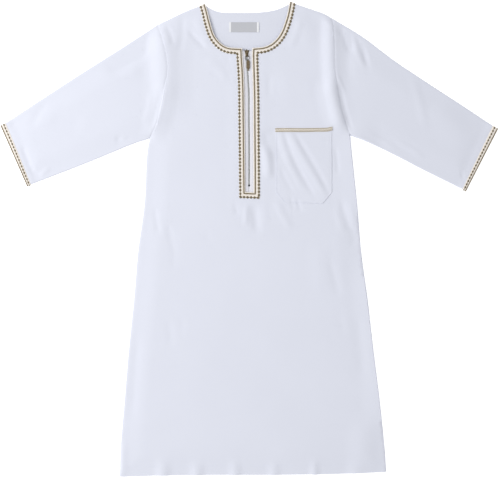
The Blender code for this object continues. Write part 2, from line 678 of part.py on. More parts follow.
def zip_flat_pieces():
    """Tapes, chain, bottom stop and label: flat pieces cut from sheet."""
    path = smooth_line(CHAIN_LINE, CHAIN_STEP)
    reach = CHAIN_WIDE / 2
    chain = np.vstack([path - [reach, 0.0], (path + [reach, 0.0])[::-1]])
    middle = np.vstack([[path[0][0], ZIP_TOP], path, [path[-1][0], TAPE_FOOT]])
    gap = reach + SEAM
    notch = gap + STOP_NOTCH
    foot_x, foot_y = path[-1]
    tapes = {}
    for side, slit, outward in (("left", SLIT_RIGHT, 1), ("right", SLIT_LEFT, -1)):
        edge = [(slit[0][0], ZIP_TOP)] + slit[1:-1] + [(slit[-1][0], TAPE_FOOT)]
        outer = np.array(edge, dtype=float) + [TAPE_UNDER * outward, 0.0]
        inner = middle + [gap * outward, 0.0]
        low = inner[:, 1] < foot_y + STOP_ROOM
        inner[low, 0] = foot_x + notch * outward
        tapes[side] = np.vstack([outer, inner[::-1]])
    stop_y = foot_y - SEAM - STOP_LONG / 2
    stop = [(foot_x + x, stop_y + y) for x, y in mirrored(STOP_HALF)]
    stop_top = CHAIN_TOP + STOP_RISE
    (left, right), (low_edge, high_edge) = LABEL_X, LABEL_Y
    label = [(left, low_edge), (right, low_edge), (right, high_edge), (left, high_edge)]
    return [
        Piece("zip_tape_left", "tape", *prism(tapes["left"], TAPE_TOP - TRIM, TAPE_TOP)),
        Piece("zip_tape_right", "tape", *prism(tapes["right"], TAPE_TOP - TRIM, TAPE_TOP)),
        Piece("zip_chain", "silver_teeth", *prism(chain, CHAIN_TOP - CHAIN_DEEP, CHAIN_TOP)),
        Piece("zip_stop", "dark_metal", *prism(stop, stop_top - STOP_DEEP, stop_top)),
        Piece("neck_label", "label", *prism(label, CLOTH + SEAM, CLOTH + SEAM + TRIM)),
    ]


def new_material(name):
    """Plain material of one finish."""
    finish = FINISHES[name]
    material = bpy.data.materials.new(name)
    material.use_nodes = True
    shader = material.node_tree.nodes["Principled BSDF"]
    shader.inputs["Base Color"].default_value = (*finish.colour, 1.0)
    shader.inputs["Roughness"].default_value = finish.roughness
    shader.inputs["Metallic"].default_value = finish.metallic
    return material


def new_object(name, finish, points, faces, origin=(0.0, 0.0, 0.0)):
    """Object from points in garment millimetres, its own origin at the given place."""
    mesh = bpy.data.meshes.new(name)
    mesh.from_pydata([tuple((Vector(point) - Vector(origin)) * METRES) for point in points], [], faces)
    mesh.materials.append(new_material(finish))
    mesh.validate()
    shaped = bmesh.new()
    shaped.from_mesh(mesh)
    bmesh.ops.recalc_face_normals(shaped, faces=shaped.faces)
    shaped.to_mesh(mesh)
    shaped.free()
    piece = bpy.data.objects.new(name, mesh)
    piece.location = Vector(origin) * METRES
    bpy.context.scene.collection.objects.link(piece)
    return piece


def joined(base, others):
    """The base with the other solids fused into it, which stay as hidden guides."""
    for other in others:
        fuse = base.modifiers.new("fuse " + other.name, "BOOLEAN")
        fuse.operation = "UNION"
        fuse.solver = "EXACT"
        fuse.object = other
        other.hide_render = True
        other.display_type = "WIRE"
    return base


def bridge_shape(mid_x, pin_y, pin_z):
    """The slider's bridge: its side outline swept over its width."""
    count = len(BRIDGE_ARCH)
    points = [(mid_x + side * BRIDGE_WIDE / 2, pin_y + y, pin_z + z)
              for side in (-1, 1) for y, z in BRIDGE_ARCH]
    faces = [tuple(range(count)), tuple(reversed(range(count, 2 * count)))]
    faces += [(number, number + count, (number + 1) % count + count, (number + 1) % count)
              for number in range(count)]
    return points, faces


def ring_shape():
    """The pull's ring, from the pin at its top."""
    points = []
    faces = []
    for turn in range(RING_TURNS):
        angle = 2 * math.pi * turn / RING_TURNS
        heading = np.array([RING_WIDE * math.cos(angle), -RING_TALL * math.sin(angle)])
        out_x, out_y = -heading[1] / np.linalg.norm(heading), heading[0] / np.linalg.norm(heading)
        for side in range(RING_SIDES):
            around = 2 * math.pi * (side + 0.5) / RING_SIDES
            out = RING_WIRE * math.cos(around)
            points.append((RING_SHIFT + RING_WIDE * math.sin(angle) + out * out_x,
                           RING_TALL * (math.cos(angle) - 1.0) + out * out_y,
                           RING_WIRE * math.sin(around)))
            after_turn, after_side = (turn + 1) % RING_TURNS, (side + 1) % RING_SIDES
            faces.append((turn * RING_SIDES + side, turn * RING_SIDES + after_side,
                          after_turn * RING_SIDES + after_side, after_turn * RING_SIDES + side))
    return points, faces


def slider_and_pull(centre):
    """Slider with its bridge, and the ring and tab that swing on it."""
    plate_low = CHAIN_TOP + SEAM
    plate_top = plate_low + SLIDER_PLATE
    under_top = CHAIN_TOP - CHAIN_DEEP - SEAM
    under_low = under_top - SLIDER_PLATE
    pin_z = plate_top + PIN_RISE
    mid_x, mid_y = SLIDER_AT[0] - centre[0], SLIDER_AT[1] - centre[1]
    pin_y = mid_y - PIN_BACK
    plate = [(mid_x + x, mid_y + y) for x, y in mirrored(PLATE_HALF)]
    post = [(mid_x + x, mid_y + y) for x, y in mirrored(POST_HALF)]
    slider = new_object("zip_slider", "brass", *prism(plate, under_low, under_top))
    joined(slider, [
        new_object("slider_top_guide", "brass", *prism(plate, plate_low, plate_top)),
        new_object("slider_post_guide", "brass", *prism(post, under_low + POST_IN, plate_top - POST_IN)),
        new_object("slider_bridge_guide", "brass", *bridge_shape(mid_x, pin_y, pin_z)),
    ])

    pin = Vector((mid_x, pin_y, pin_z))
    tab = [(TAB_SHIFT + x, y) for x, y in mirrored(TAB_HALF)]
    tab_points, tab_faces = prism(tab, -TAB_DEEP / 2, TAB_DEEP / 2)
    ring_points, ring_faces = ring_shape()
    drop = math.tan(PULL_DROOP)
    ring_hung, tab_hung = [[pin + Vector((x, y, z + y * drop)) for x, y, z in points]
                           for points in (ring_points, tab_points)]
    pull = new_object("zip_pull", "brass", ring_hung, ring_faces, pin)
    joined(pull, [new_object("pull_tab_guide", "brass", tab_hung, tab_faces, pin)])


def smooth_shaded():
    """Soft shading over the gentle facets of every piece, with its corners kept."""
    for piece in bpy.context.scene.objects:
        piece.data.shade_smooth()
        piece.data.set_sharp_from_angle(angle=SHARP)


def build():
    """The whole robe."""
    for old in list(bpy.data.objects):
        bpy.data.objects.remove(old, do_unlink=True)
    lines = body_lines()
    pieces = front_pieces() + [back_piece()]
    pieces += sleeve_pieces("right", lines["armhole left"], SLEEVE_TOP_LEFT, SLEEVE_UNDER_LEFT, -1)
    pieces += sleeve_pieces("left", lines["armhole right"], SLEEVE_TOP_RIGHT, SLEEVE_UNDER_RIGHT, 1)
    pieces += zip_flat_pieces()
    corners = np.vstack([np.array(piece.points)[:, :2] for piece in pieces])
    centre = 0.5 * (corners.min(axis=0) + corners.max(axis=0))
    for piece in pieces:
        placed = [(x - centre[0], y - centre[1], z) for x, y, z in piece.points]
        new_object(piece.name, piece.finish, placed, piece.faces)
    slider_and_pull(centre)
    smooth_shaded()


build()
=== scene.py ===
"""Child's thobe robe laid flat with its front up: the finish of every piece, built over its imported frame.

Garment places are millimetres: x from the centre front line to the wearer's left, y up from the hem, and
heights over the floor, as in the part's source. placed() turns them into the frame's metres.
"""
import math
from collections import namedtuple

import bmesh
import bpy
import numpy as np
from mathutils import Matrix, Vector
from mathutils.geometry import delaunay_2d_cdt


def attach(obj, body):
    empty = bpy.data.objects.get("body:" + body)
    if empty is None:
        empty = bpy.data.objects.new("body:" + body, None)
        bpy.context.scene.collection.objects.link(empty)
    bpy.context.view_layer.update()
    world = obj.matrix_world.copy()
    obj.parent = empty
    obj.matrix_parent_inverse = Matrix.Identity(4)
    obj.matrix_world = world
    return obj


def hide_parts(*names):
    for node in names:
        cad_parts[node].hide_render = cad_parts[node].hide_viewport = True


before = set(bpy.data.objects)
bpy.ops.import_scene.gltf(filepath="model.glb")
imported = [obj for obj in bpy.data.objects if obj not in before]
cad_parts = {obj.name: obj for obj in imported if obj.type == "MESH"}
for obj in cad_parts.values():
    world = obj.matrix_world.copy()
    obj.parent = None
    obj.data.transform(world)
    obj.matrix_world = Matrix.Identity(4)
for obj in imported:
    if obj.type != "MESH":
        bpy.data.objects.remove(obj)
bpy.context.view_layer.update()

bl_info = {
    "name": "Thobe robe",
    "version": (1, 0, 0),
    "blender": (4, 5, 0),
    "location": "3D View > Sidebar > Thobe",
    "description": "Cloth, gold braid and zip of a child's thobe robe, over its packed frame",
    "category": "Object",
}

METRES = 0.001
MILLIMETRES = 1000.0
MIDDLE = (0.5355, 473.5)
UP = (0.0, 0.0, 1.0)
DOWN = (0.0, 0.0, -1.0)

# Walls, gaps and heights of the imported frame
CLOTH = 1.2
SEAM = 0.3
FRONT_REST = CLOTH + SEAM
AIR = 2.6
AIR_RUN = 48.0
FOLD_RUN = 14.0
FOLD_FADE = 0.28
CREASE_RUN = 6.0
PLACKET_LEVEL = 4.5
PLACKET_FLAT = 15.0
PLACKET_RUN = 24.0

# Body outline
Side = namedtuple("Side", "y left right")
SIDES = [
    Side(y=640, left=-205, right=207),
    Side(y=544, left=-210, right=217),
    Side(y=448, left=-223, right=225),
    Side(y=352, left=-231, right=238),
    Side(y=256, left=-241, right=249),
    Side(y=160, left=-249, right=261),
    Side(y=64, left=-257, right=271),
]
HEM = [(-260, -1), (-165, 2), (-67, 3), (35, 3), (135, 4), (205, 6), (275, 9)]
SHOULDER_LEFT = [(-91, 945), (-133, 928), (-183, 904)]
SHOULDER_RIGHT = [(86, 948), (145, 928), (166, 917)]
ARMHOLE_LEFT = [(-183, 904), (-171, 866), (-165, 838), (-163, 810), (-170, 776), (-178, 738), (-186, 704),
                (-199, 676)]
ARMHOLE_RIGHT = [(166, 917), (170, 890), (171, 850), (172, 816), (177, 782), (183, 746), (192, 712),
                 (203, 682)]

# Sleeve outline, from the armhole to the cuff
SLEEVE_TOP_LEFT = [(-183, 904), (-257, 856), (-333, 808), (-407, 760), (-497, 701)]
SLEEVE_UNDER_LEFT = [(-199, 676), (-235, 664), (-293, 640), (-353, 616), (-444, 581)]
SLEEVE_TOP_RIGHT = [(166, 917), (227, 880), (291, 832), (363, 784), (435, 737), (498, 695)]
SLEEVE_UNDER_RIGHT = [(203, 682), (247, 664), (297, 640), (343, 616), (434, 571)]
CUFF_BRAID = 10.0
CUFF_LIFT = 1.3
CUFF_RUN = 16.0

# Neck: the braid's gold edge cord runs on these lines, round the neck and down each side of the slit
NECK_LEFT = [(-92, 952), (-90, 943), (-86, 930), (-81, 909), (-73, 884), (-64, 870), (-54, 861),
             (-42, 855.5), (-28, 854), (-16.5, 853.5)]
NECK_RIGHT = [(84.5, 956), (83.5, 946), (81, 932), (77.5, 917), (73, 903), (68, 890), (59.5, 876),
              (48.5, 865), (37, 858.5), (26, 855.5), (9.4, 854)]
SLIT_LEFT = [(-16.5, 853.5), (-15.4, 832), (-13.6, 806), (-12.4, 770), (-11.6, 700), (-10.8, 620),
             (-10.2, 566)]
SLIT_RIGHT = [(9.4, 854), (9.2, 836), (10.2, 800), (11.2, 760), (11.6, 700), (12.2, 620), (12.4, 565)]
BRAID_IN = 2.4
BACK_NECK = [(86, 948), (60, 936), (40, 931), (15, 928.5), (-18, 928), (-51, 928.5), (-66, 931.5), (-78, 937),
             (-91, 945)]
NECK_ENDS = ((84.5, 949.5, -0.34), (-91.0, 944.5, 0.4))

# Pocket
POCKET_LEFT = 53.0
POCKET_RIGHT = 166.0
POCKET_FOOT = 546.0
POCKET_TOP_LEFT = 696.0
POCKET_TOP_RIGHT = 698.0
POCKET_CUT = (18.0, 22.0)

# Zip
ZIP_TOP = 851.0
TAPE_UNDER = 5.0
TAPE_FOOT = 558.0
TAPE_TOP = 4.6
CHAIN_LINE = [(-4.2, 843), (-2.5, 806), (-1.2, 784), (-0.2, 764), (-0.1, 720), (0.4, 670), (0.4, 610),
              (0.2, 584)]
STOP_AT = 580.0
CHAIN_LOW = 2.6
CHAIN_TOP = 4.8
SLIDER_AT = (-4.4, 846.8)
PIN_BACK = 5.0
PIN_HEIGHT = 6.7
PLATE_HALF = [(0.0, 7.2), (1.3, 5.4), (2.6, 4.8), (3.5, 6.2), (4.4, 5.6), (4.3, 3.4), (2.9, -2.4),
              (2.7, -6.6), (1.9, -7.6), (0.0, -7.6)]
STOP_HALF = [(0.0, 1.7), (2.1, 1.7), (2.1, -1.0), (1.3, -1.7), (0.0, -1.7)]
RING_WIDE = 3.8
RING_TALL = 4.9
RING_WIRE = 0.6
RING_SHIFT = 0.8
TAB_SHIFT = 2.6
TAB_HALF = [(0.0, -9.6), (1.5, -9.6), (3.3, -12.4), (3.3, -25.4), (2.3, -26.6), (1.0, -26.6), (1.0, -27.5),
            (1.7, -28.4), (1.7, -29.6), (0.8, -30.6), (0.0, -30.6)]
PULL_DROOP = math.radians(1.8)

# Label inside the back neck
LABEL_X = (-40.0, 20.0)
LABEL_Y = (889.0, 909.0)

# Folds: a curve through three places, half its width, and its height (a trough is negative)
Fold = namedtuple("Fold", "start middle end width height")
FOLDS = [
    Fold((58, 700), (72, 645), (114, 560), 10, 0.9),
    Fold((62, 712), (91, 632), (139, 545), 8, -1.2),
    Fold((74, 712), (106, 640), (160, 550), 12, 1.2),
    Fold((73, 712), (127, 628), (171, 545), 9, -1.0),
    Fold((62, 624), (72, 596), (92, 560), 8, -0.7),
    Fold((-28, 558), (-26, 540), (-24, 518), 9, -0.9),
    Fold((-6, 562), (-6, 530), (-7, 496), 8, 1.2),
    Fold((7, 566), (12, 526), (17, 480), 14, -1.8),
    Fold((27, 560), (31, 534), (36, 500), 9, 0.4),
    Fold((-190, 542), (-185, 512), (-180, 480), 8, -0.9),
    Fold((-163, 508), (-156, 476), (-146, 440), 9, -1.0),
    Fold((171, 542), (178, 516), (190, 486), 8, 0.6),
    Fold((182, 560), (193, 520), (207, 480), 10, -1.3),
    Fold((200, 556), (210, 520), (223, 480), 9, 0.6),
    Fold((-183, 914), (-171, 850), (-167, 745), 34, 2.7),
    Fold((-164, 800), (-174, 735), (-199, 660), 32, 2.8),
    Fold((-184, 930), (-163, 850), (-160, 700), 56, 3.0),
    Fold((-290, 812), (-238, 834), (-204, 872), 27, -2.4),
    Fold((-208, 908), (-208, 850), (-206, 776), 30, -1.3),
    Fold((-171, 786), (-181, 748), (-199, 690), 8, -0.9),
    Fold((-167, 790), (-173, 740), (-192, 680), 7, 1.0),
    Fold((-136, 932), (-133, 886), (-141, 840), 11, -0.8),
    Fold((-168, 906), (-157, 884), (-150, 858), 8, -1.2),
    Fold((-108, 924), (-94, 892), (-76, 858), 15, 0.9),
    Fold((-124, 896), (-104, 873), (-84, 852), 8, -1.3),
    Fold((163, 955), (161, 845), (168, 752), 22, 3.4),
    Fold((170, 955), (171, 850), (177, 750), 30, 2.0),
    Fold((195, 930), (195, 850), (198, 786), 20, -1.2),
    Fold((184, 935), (197, 884), (206, 835), 13, -2.0),
    Fold((161, 806), (173, 740), (191, 680), 21, 4.0),
    Fold((148, 806), (162, 745), (180, 684), 27, 1.5),
    Fold((180, 784), (189, 740), (207, 680), 9, -1.2),
    Fold((160, 820), (172, 748), (190, 684), 38, 1.4),
    Fold((160, 916), (174, 899), (190, 876), 9, -0.6),
    Fold((203, 894), (213, 858), (229, 814), 8, 0.8),
    Fold((206, 930), (226, 862), (241, 806), 8, -1.9),
    Fold((-437, 622), (-431, 607), (-414, 602), 8, -1.3),
]

# Folds that start at the placket's flat edge
WEDGES = [
    Fold((30, 694), (37, 664), (44, 640), 12, -1.0),
    Fold((38, 704), (56, 662), (66, 624), 26, -1.7),
    Fold((31, 668), (37, 630), (40, 590), 15, 2.9),
]

# Ripples of the front's hem: place, half width, height at the hem, and how far up they run
Ripple = namedtuple("Ripple", "x width height run")
RIPPLES = [
    Ripple(x=-172, width=20, height=3.6, run=46),
    Ripple(x=-104, width=18, height=3.4, run=42),
    Ripple(x=-28, width=17, height=3.0, run=44),
    Ripple(x=50, width=15, height=2.6, run=40),
    Ripple(x=131, width=12, height=3.2, run=44),
    Ripple(x=212, width=22, height=1.6, run=44),
]

# Finer creases, and the broad shallow swells of the cloth
CREASES = [
    Fold((-196, 772), (-200, 738), (-212, 700), 9, 0.7),
    Fold((-264, 684), (-258, 668), (-248, 652), 9, -1.3),
    Fold((-246, 680), (-238, 671), (-230, 664), 6, -0.9),
    Fold((-404, 752), (-421, 726), (-436, 698), 13, -0.8),
    Fold((-480, 718), (-474, 710), (-468, 698), 7, -0.9),
    Fold((-455, 664), (-446, 640), (-436, 612), 7, -1.3),
    Fold((-398, 618), (-408, 610), (-418, 600), 9, 0.8),
    Fold((-46, 842), (-34, 826), (-22, 806), 8, -1.7),
    Fold((-92, 834), (-62, 818), (-38, 786), 16, 0.8),
    Fold((-46, 664), (-34, 657), (-22, 648), 4, -0.8),
    Fold((-40, 738), (-32, 726), (-26, 712), 7, -0.6),
    Fold((38, 810), (38, 782), (38, 754), 12, -1.0),
    Fold((104, 922), (95, 888), (80, 854), 12, 1.0),
    Fold((176, 804), (183, 788), (192, 764), 5, 0.9),
    Fold((82, 562), (86, 548), (91, 532), 6, -0.8),
    Fold((95, 558), (99, 544), (104, 528), 6, -1.0),
    Fold((51, 556), (67, 524), (87, 490), 12, 1.0),
    Fold((172, 664), (176, 634), (178, 600), 6, -1.0),
    Fold((206, 502), (209, 482), (210, 456), 9, -0.8),
    Fold((158, 440), (170, 402), (182, 356), 10, -1.0),
    Fold((-86, 496), (-83, 482), (-81, 466), 8, -0.5),
    Fold((-152, 452), (-150, 434), (-152, 414), 9, -0.6),
    Fold((-162, 318), (-158, 288), (-156, 256), 11, -0.7),
    Fold((-136, 322), (-133, 302), (-133, 282), 8, -0.5),
    Fold((176, 330), (184, 308), (190, 288), 9, -0.6),
    Fold((-263, 76), (-263, 30), (-264, -40), 27, 2.8),
    Fold((322, 812), (338, 762), (356, 688), 14, 0.7),
    Fold((286, 676), (322, 656), (356, 632), 10, 0.8),
    Fold((228, 692), (262, 674), (304, 650), 9, 0.7),
    Fold((424, 614), (427, 600), (430, 584), 5, -0.7),
]
SWELLS = [
    Fold((-196, 560), (-200, 350), (-206, 60), 60, 0.3),
    Fold((-224, 300), (-233, 206), (-240, 100), 20, -1.1),
    Fold((232, 500), (254, 290), (277, 20), 50, 4.8),
    Fold((216, 330), (222, 270), (230, 190), 16, -0.7),
    Fold((140, 480), (142, 416), (148, 350), 30, 0.7),
    Fold((226, -30), (229, 45), (232, 130), 40, 1.8),
    Fold((208, 736), (216, 640), (229, 470), 56, 5.6),
    Fold((52, 778), (98, 786), (142, 780), 46, 0.9),
    Fold((-396, 724), (-362, 708), (-330, 698), 40, -0.7),
    Fold((366, 748), (400, 708), (430, 644), 42, 1.0),
    Fold((96, 940), (112, 900), (122, 850), 26, 0.9),
]
BACK_CREASES = [
    Fold((5, 888), (5, 872), (6, 854), 4, -0.4),
    Fold((-98, 950), (-88, 886), (-30, 850), 24, 1.9),
]

# How closely lines and panels are divided, in millimetres
FINE_STEP = 4.0
WIDE_STEP = 6.5
BACK_CHEST_STEP = 6.0
BACK_SKIRT_STEP = 14.0
COARSE_STEP = 12.0
SPINE_STEP = 8.0
NECK_STEP = 2.0
CURVE_PARTS = 16
ROW_STEP = 0.87
CHEST_FOOT = 492.0
CHEST_TOP = 955.0
EDGE_ROWS = (0.9, 2.4)

# Cloth shells, their sewn edges and the hem
EDGE_ROUND = 2.6
THIN = 0.7
SEAM_HEIGHT = 0.65
SEAM_TIP = 0.3
SEAM_DITCH = 0.6
SEAM_WIDE = 2.2
HEM_DEEP = 20.0
HEM_THICK = 0.3
SHARP = math.radians(40)

# Braid: places across it from the edge cord, outward into the cloth, each with its height
BASE_ROWS = [(-3.2, 0.1), (-2.9, 0.6), (-1.3, 0.85), (1.2, 0.5), (2.0, 0.62), (4.6, 0.62), (8.6, 0.5)]
BEADS_AT = 7.3
EDGING_AT = 9.2
CUFF_ROWS = [(0.0, 0.0), (0.0, 0.45), (0.8, 0.62), (2.6, 0.45), (3.4, 0.6), (6.0, 0.6), (9.4, 0.5),
             (10.0, 0.1)]
CUFF_CORD_AT = 1.2
CUFF_BEADS_AT = 6.2

# Thread beads: length, width and height, and the rings of one bead as shares of its plan and height
NECK_BEAD = (6.5, 5.3, 1.1)
CUFF_BEAD = (5.9, 3.8, 0.72)
BEAD_SIDES = 12
BEAD_POWER = 1.35
BEAD_LEVELS = [(1.0, 0.0), (0.93, 0.35), (0.72, 0.75), (0.36, 0.97)]

# One stitch: places along it, how far it sinks and its thickness, as shares of its length and radius
STITCH_PLACES = np.array([-0.5, -0.36, 0.0, 0.36, 0.5])
STITCH_DIPS = np.array([-0.9, -0.1, 0.35, -0.1, -0.9])
STITCH_THICK = np.array([0.5, 0.9, 1.0, 0.9, 0.5])
STITCH_RADIUS = 0.17
UNDER_RADIUS = 0.12
STITCHED_HEM = (-254.0, 268.0)

# Pocket: the step along its outline, rows of points inside it and the run of its rounded edge
POCKET_STEP = 3.0
POCKET_ROWS = (0.5, 1.3, 2.4)
POCKET_ROUND = 1.4

# Pocket trim: places across it from the pocket's top edge, each with its height; its heights over the
# cloth, its bend, and its cords, each with its place and its half width for each metre of cord width
TRIM_ROWS = [(0.6, 0.1), (0.3, 0.5), (-0.8, 0.62), (-2.6, 0.45), (-4.8, 0.45), (-6.2, 0.62), (-7.0, 0.5),
             (-7.3, 0.1)]
TRIM_OVER = 1.1
TRIM_BASE = 1.0
TRIM_RISE = 2.0
TRIM_DROP = 1.1
TRIM_PARTS = 114
TRIM_CORDS = ((-0.6, 190.0), (-6.2, 150.0))
TRIM_ZIGZAG = -3.9

# Zip tape: shares of its width from the teeth outward, each with its height
TAPE_ROWS = ((0.0, 0.0), (0.05, 0.55), (0.3, 0.62), (0.42, 0.5), (0.56, 0.62), (0.8, 0.55), (1.0, 0.4))
TAPE_BASE = TAPE_TOP - 0.6

# Tooth: places across the chain, each with its share of half the tooth's length, and its edge's profile
TOOTH = ((-0.85, 0.6), (-0.85, -0.6), (-0.6, -1.0), (0.2, -1.0), (0.6, -0.78), (1.8, -0.9), (1.8, 0.9),
         (0.6, 0.78), (0.2, 1.0), (-0.6, 1.0))
TOOTH_PROFILE = [(0.12, CHAIN_LOW + 0.05), (0.0, CHAIN_LOW + 0.3), (0.0, CHAIN_TOP - 0.4),
                 (0.1, CHAIN_TOP - 0.1), (0.2, CHAIN_TOP)]

# Slider: inset and height of its plates' edges, its post and the tips of its three flutes
LOWER_PLATE = [(0.35, 1.6), (0.1, 1.75), (0.0, 2.0), (0.0, 2.3)]
UPPER_PLATE = [(0.0, 4.95), (0.0, 5.2), (0.12, 5.4), (0.4, 5.5)]
POST = [(0.0, 6.0), (-1.21, 4.4), (-0.55, 3.2), (0.55, 3.2), (1.21, 4.4)]
POST_HEIGHTS = [(0.0, 2.2), (0.0, 5.2)]
FLUTE_TIPS = ((-4.1, 5.2), (0.0, 7.3), (4.1, 5.2))
BRIDGE_FOOT = 5.35
STOP_PROFILE = [(0.4, 2.3), (0.0, 2.7), (0.0, 4.5), (0.25, 4.9), (0.7, 5.1)]
TAB_PROFILE = [(0.75, -0.4), (0.6, -0.6), (0.3, -0.6), (0.0, -0.3), (0.0, 0.3), (0.3, 0.6), (0.6, 0.6),
               (0.75, 0.4)]
METAL_SHARP = math.radians(50)

# Studio: lamp, its place in metres and its size; the camera's place and lens
LAMPS = (("key_light", (-2.4, 0.6, 2.05), 1.64), ("fill_light", (0.5, -2.6, 2.4), 2.6))
FLOOR_HALF = 3.0
FLOOR_LEVEL = -0.0003
CAMERA_AT = (0.00146, 0.0015)
LENS = 85.0
SENSOR = 36.0


def ease(value):
    """Smooth step from 0 to 1."""
    held = np.clip(value, 0.0, 1.0)
    return held * held * (3.0 - 2.0 * held)


def hump(share):
    """Smooth fall from 1 at the middle of a fold to 0 at its edge."""
    return 0.5 + 0.5 * np.cos(math.pi * np.clip(share, 0.0, 1.0))


def round_over(gap, run):
    """Quarter round that rises from 0 at an edge to 1 at a run from it."""
    return np.sqrt(1.0 - (1.0 - np.clip(gap / run, 0.0, 1.0)) ** 2)


def unit(vectors):
    """Vectors at length one."""
    return vectors / np.maximum(np.linalg.norm(vectors, axis=-1, keepdims=True), 1e-9)


def length_of(line):
    """Length of a line of points."""
    return float(np.linalg.norm(np.diff(line, axis=0), axis=1).sum())


def runs_of(line):
    """Distance of each point of a line from its start."""
    return np.concatenate([[0.0], np.cumsum(np.linalg.norm(np.diff(line, axis=0), axis=1))])


def at_distances(line, wanted):
    """Places on a line of points at the given distances from its start."""
    runs = runs_of(line)
    return np.column_stack([np.interp(wanted, runs, line[:, axis]) for axis in range(line.shape[1])])


def along(line, shares):
    """Places on a line of points at the given shares of its length."""
    return at_distances(line, np.asarray(shares) * length_of(line))


def smooth_line(places, step):
    """Points on a smooth curve through the places, about one step apart, the ends kept."""
    knots = np.array(places, dtype=float)
    ends = np.vstack([2 * knots[0] - knots[1], knots, 2 * knots[-1] - knots[-2]])
    part = np.linspace(0.0, 1.0, CURVE_PARTS, endpoint=False)[:, None]
    fine = [0.5 * (2 * start + (end - before) * part + (2 * before - 5 * start + 4 * end - after) * part ** 2
                   + (3 * start - before - 3 * end + after) * part ** 3)
            for before, start, end, after in zip(ends[:-3], ends[1:-2], ends[2:-1], ends[3:])]
    line = np.vstack(fine + [knots[-1:]])
    return along(line, np.linspace(0.0, 1.0, max(1, round(length_of(line) / step)) + 1))


def near_line(line, points):
    """Distance from each point to a line, and the share of the line's length at the nearest place."""
    line = np.asarray(line, dtype=float)
    total = length_of(line)
    best = np.full(len(points), np.inf)
    share = np.zeros(len(points))
    done = 0.0
    for start, end in zip(line[:-1], line[1:]):
        step = end - start
        size = float(np.linalg.norm(step))
        if size == 0.0:
            continue
        part = np.clip((points - start) @ step / size ** 2, 0.0, 1.0)
        gap = np.linalg.norm(points - start - part[:, None] * step, axis=1)
        closer = gap < best
        best[closer] = gap[closer]
        share[closer] = (done + part[closer] * size) / total
        done += size
    return best, share


def inside(loop, points):
    """Which points lie inside a closed loop."""
    loop = np.asarray(loop, dtype=float)
    result = np.zeros(len(points), dtype=bool)
    for (x_a, y_a), (x_b, y_b) in zip(loop, np.roll(loop, -1, axis=0)):
        if y_a == y_b:
            continue
        spans = (points[:, 1] < max(y_a, y_b)) & (points[:, 1] >= min(y_a, y_b))
        cross = x_a + (points[:, 1] - y_a) * (x_b - x_a) / (y_b - y_a)
        result ^= spans & (points[:, 0] < cross)
    return result


def left_of(line):
    """Unit vectors to the left of a line's heading at each of its points."""
    heading = unit(np.gradient(line, axis=0))
    return np.column_stack([-heading[:, 1], heading[:, 0]])


def body_lines(step):
    """The seam lines and edges that front and back share, from top to bottom or left to right."""
    places = {
        "shoulder left": SHOULDER_LEFT,
        "shoulder right": SHOULDER_RIGHT,
        "armhole left": ARMHOLE_LEFT,
        "armhole right": ARMHOLE_RIGHT,
        "side left": [ARMHOLE_LEFT[-1]] + [(row.left, row.y) for row in SIDES] + [HEM[0]],
        "side right": [ARMHOLE_RIGHT[-1]] + [(row.right, row.y) for row in SIDES] + [HEM[-1]],
        "hem": HEM,
    }
    return {name: smooth_line(line, step) for name, line in places.items()}


def body_loop(lines, neck):
    """Closed outline of a body panel, counter-clockwise from the left neck point."""
    runs = [lines["shoulder left"], lines["armhole left"], lines["side left"], lines["hem"],
            lines["side right"][::-1], lines["armhole right"][::-1], lines["shoulder right"][::-1], neck]
    return np.vstack([run[:-1] for run in runs])


def silhouette(lines):
    """Outer outline of body and sleeves, without the neck."""
    return np.vstack([
        lines["shoulder left"], smooth_line(SLEEVE_TOP_LEFT, COARSE_STEP),
        smooth_line(SLEEVE_UNDER_LEFT, COARSE_STEP)[::-1], lines["side left"], lines["hem"],
        lines["side right"][::-1], smooth_line(SLEEVE_UNDER_RIGHT, COARSE_STEP),
        smooth_line(SLEEVE_TOP_RIGHT, COARSE_STEP)[::-1], lines["shoulder right"][::-1],
    ])


LINES = body_lines(FINE_STEP)
COARSE_LINES = body_lines(COARSE_STEP)
OUTLINE = silhouette(COARSE_LINES)
SLIT = np.array(SLIT_LEFT + SLIT_RIGHT[::-1], dtype=float)
SEAM_NAMES = ("shoulder left", "shoulder right", "side left", "side right")
ARMHOLE_NAMES = ("armhole left", "armhole right")


def fold_heights(folds, points):
    """Sum of the folds at each place."""
    total = np.zeros(len(points))
    for fold in folds:
        spine = smooth_line([fold.start, fold.middle, fold.end], SPINE_STEP)
        low, high = spine.min(axis=0) - fold.width, spine.max(axis=0) + fold.width
        near = np.all((points > low) & (points < high), axis=1)
        if not near.any():
            continue
        gap, share = near_line(spine, points[near])
        total[near] += fold.height * hump(gap / fold.width) * ease(np.minimum(share, 1.0 - share) / FOLD_FADE)
    return total


def ripple_heights(points):
    """Sum of the hem's ripples at each place."""
    total = np.zeros(len(points))
    for ripple in RIPPLES:
        across = hump(np.abs(points[:, 0] - ripple.x) / ripple.width)
        total += ripple.height * across * (1.0 - ease(points[:, 1] / ripple.run))
    return total


def cloth_top(points):
    """Height of the upper cloth's top at each place: the frame's form with its finer creases."""
    points = np.asarray(points, dtype=float)
    edge, _ = near_line(OUTLINE, points)
    air = AIR * ease(edge / AIR_RUN)
    main = fold_heights(FOLDS, points) * ease(edge / FOLD_RUN) + ripple_heights(points)
    fine = fold_heights(CREASES, points) * ease(edge / CREASE_RUN) + fold_heights(SWELLS, points)
    to_slit, _ = near_line(SLIT, points)
    held = 1.0 - ease((np.where(inside(SLIT, points), 0.0, to_slit) - PLACKET_FLAT) / PLACKET_RUN)
    level = (FRONT_REST + air + main + fine) * (1.0 - held) + PLACKET_LEVEL * held
    return np.maximum(level + fold_heights(WEDGES, points), FRONT_REST) + CLOTH


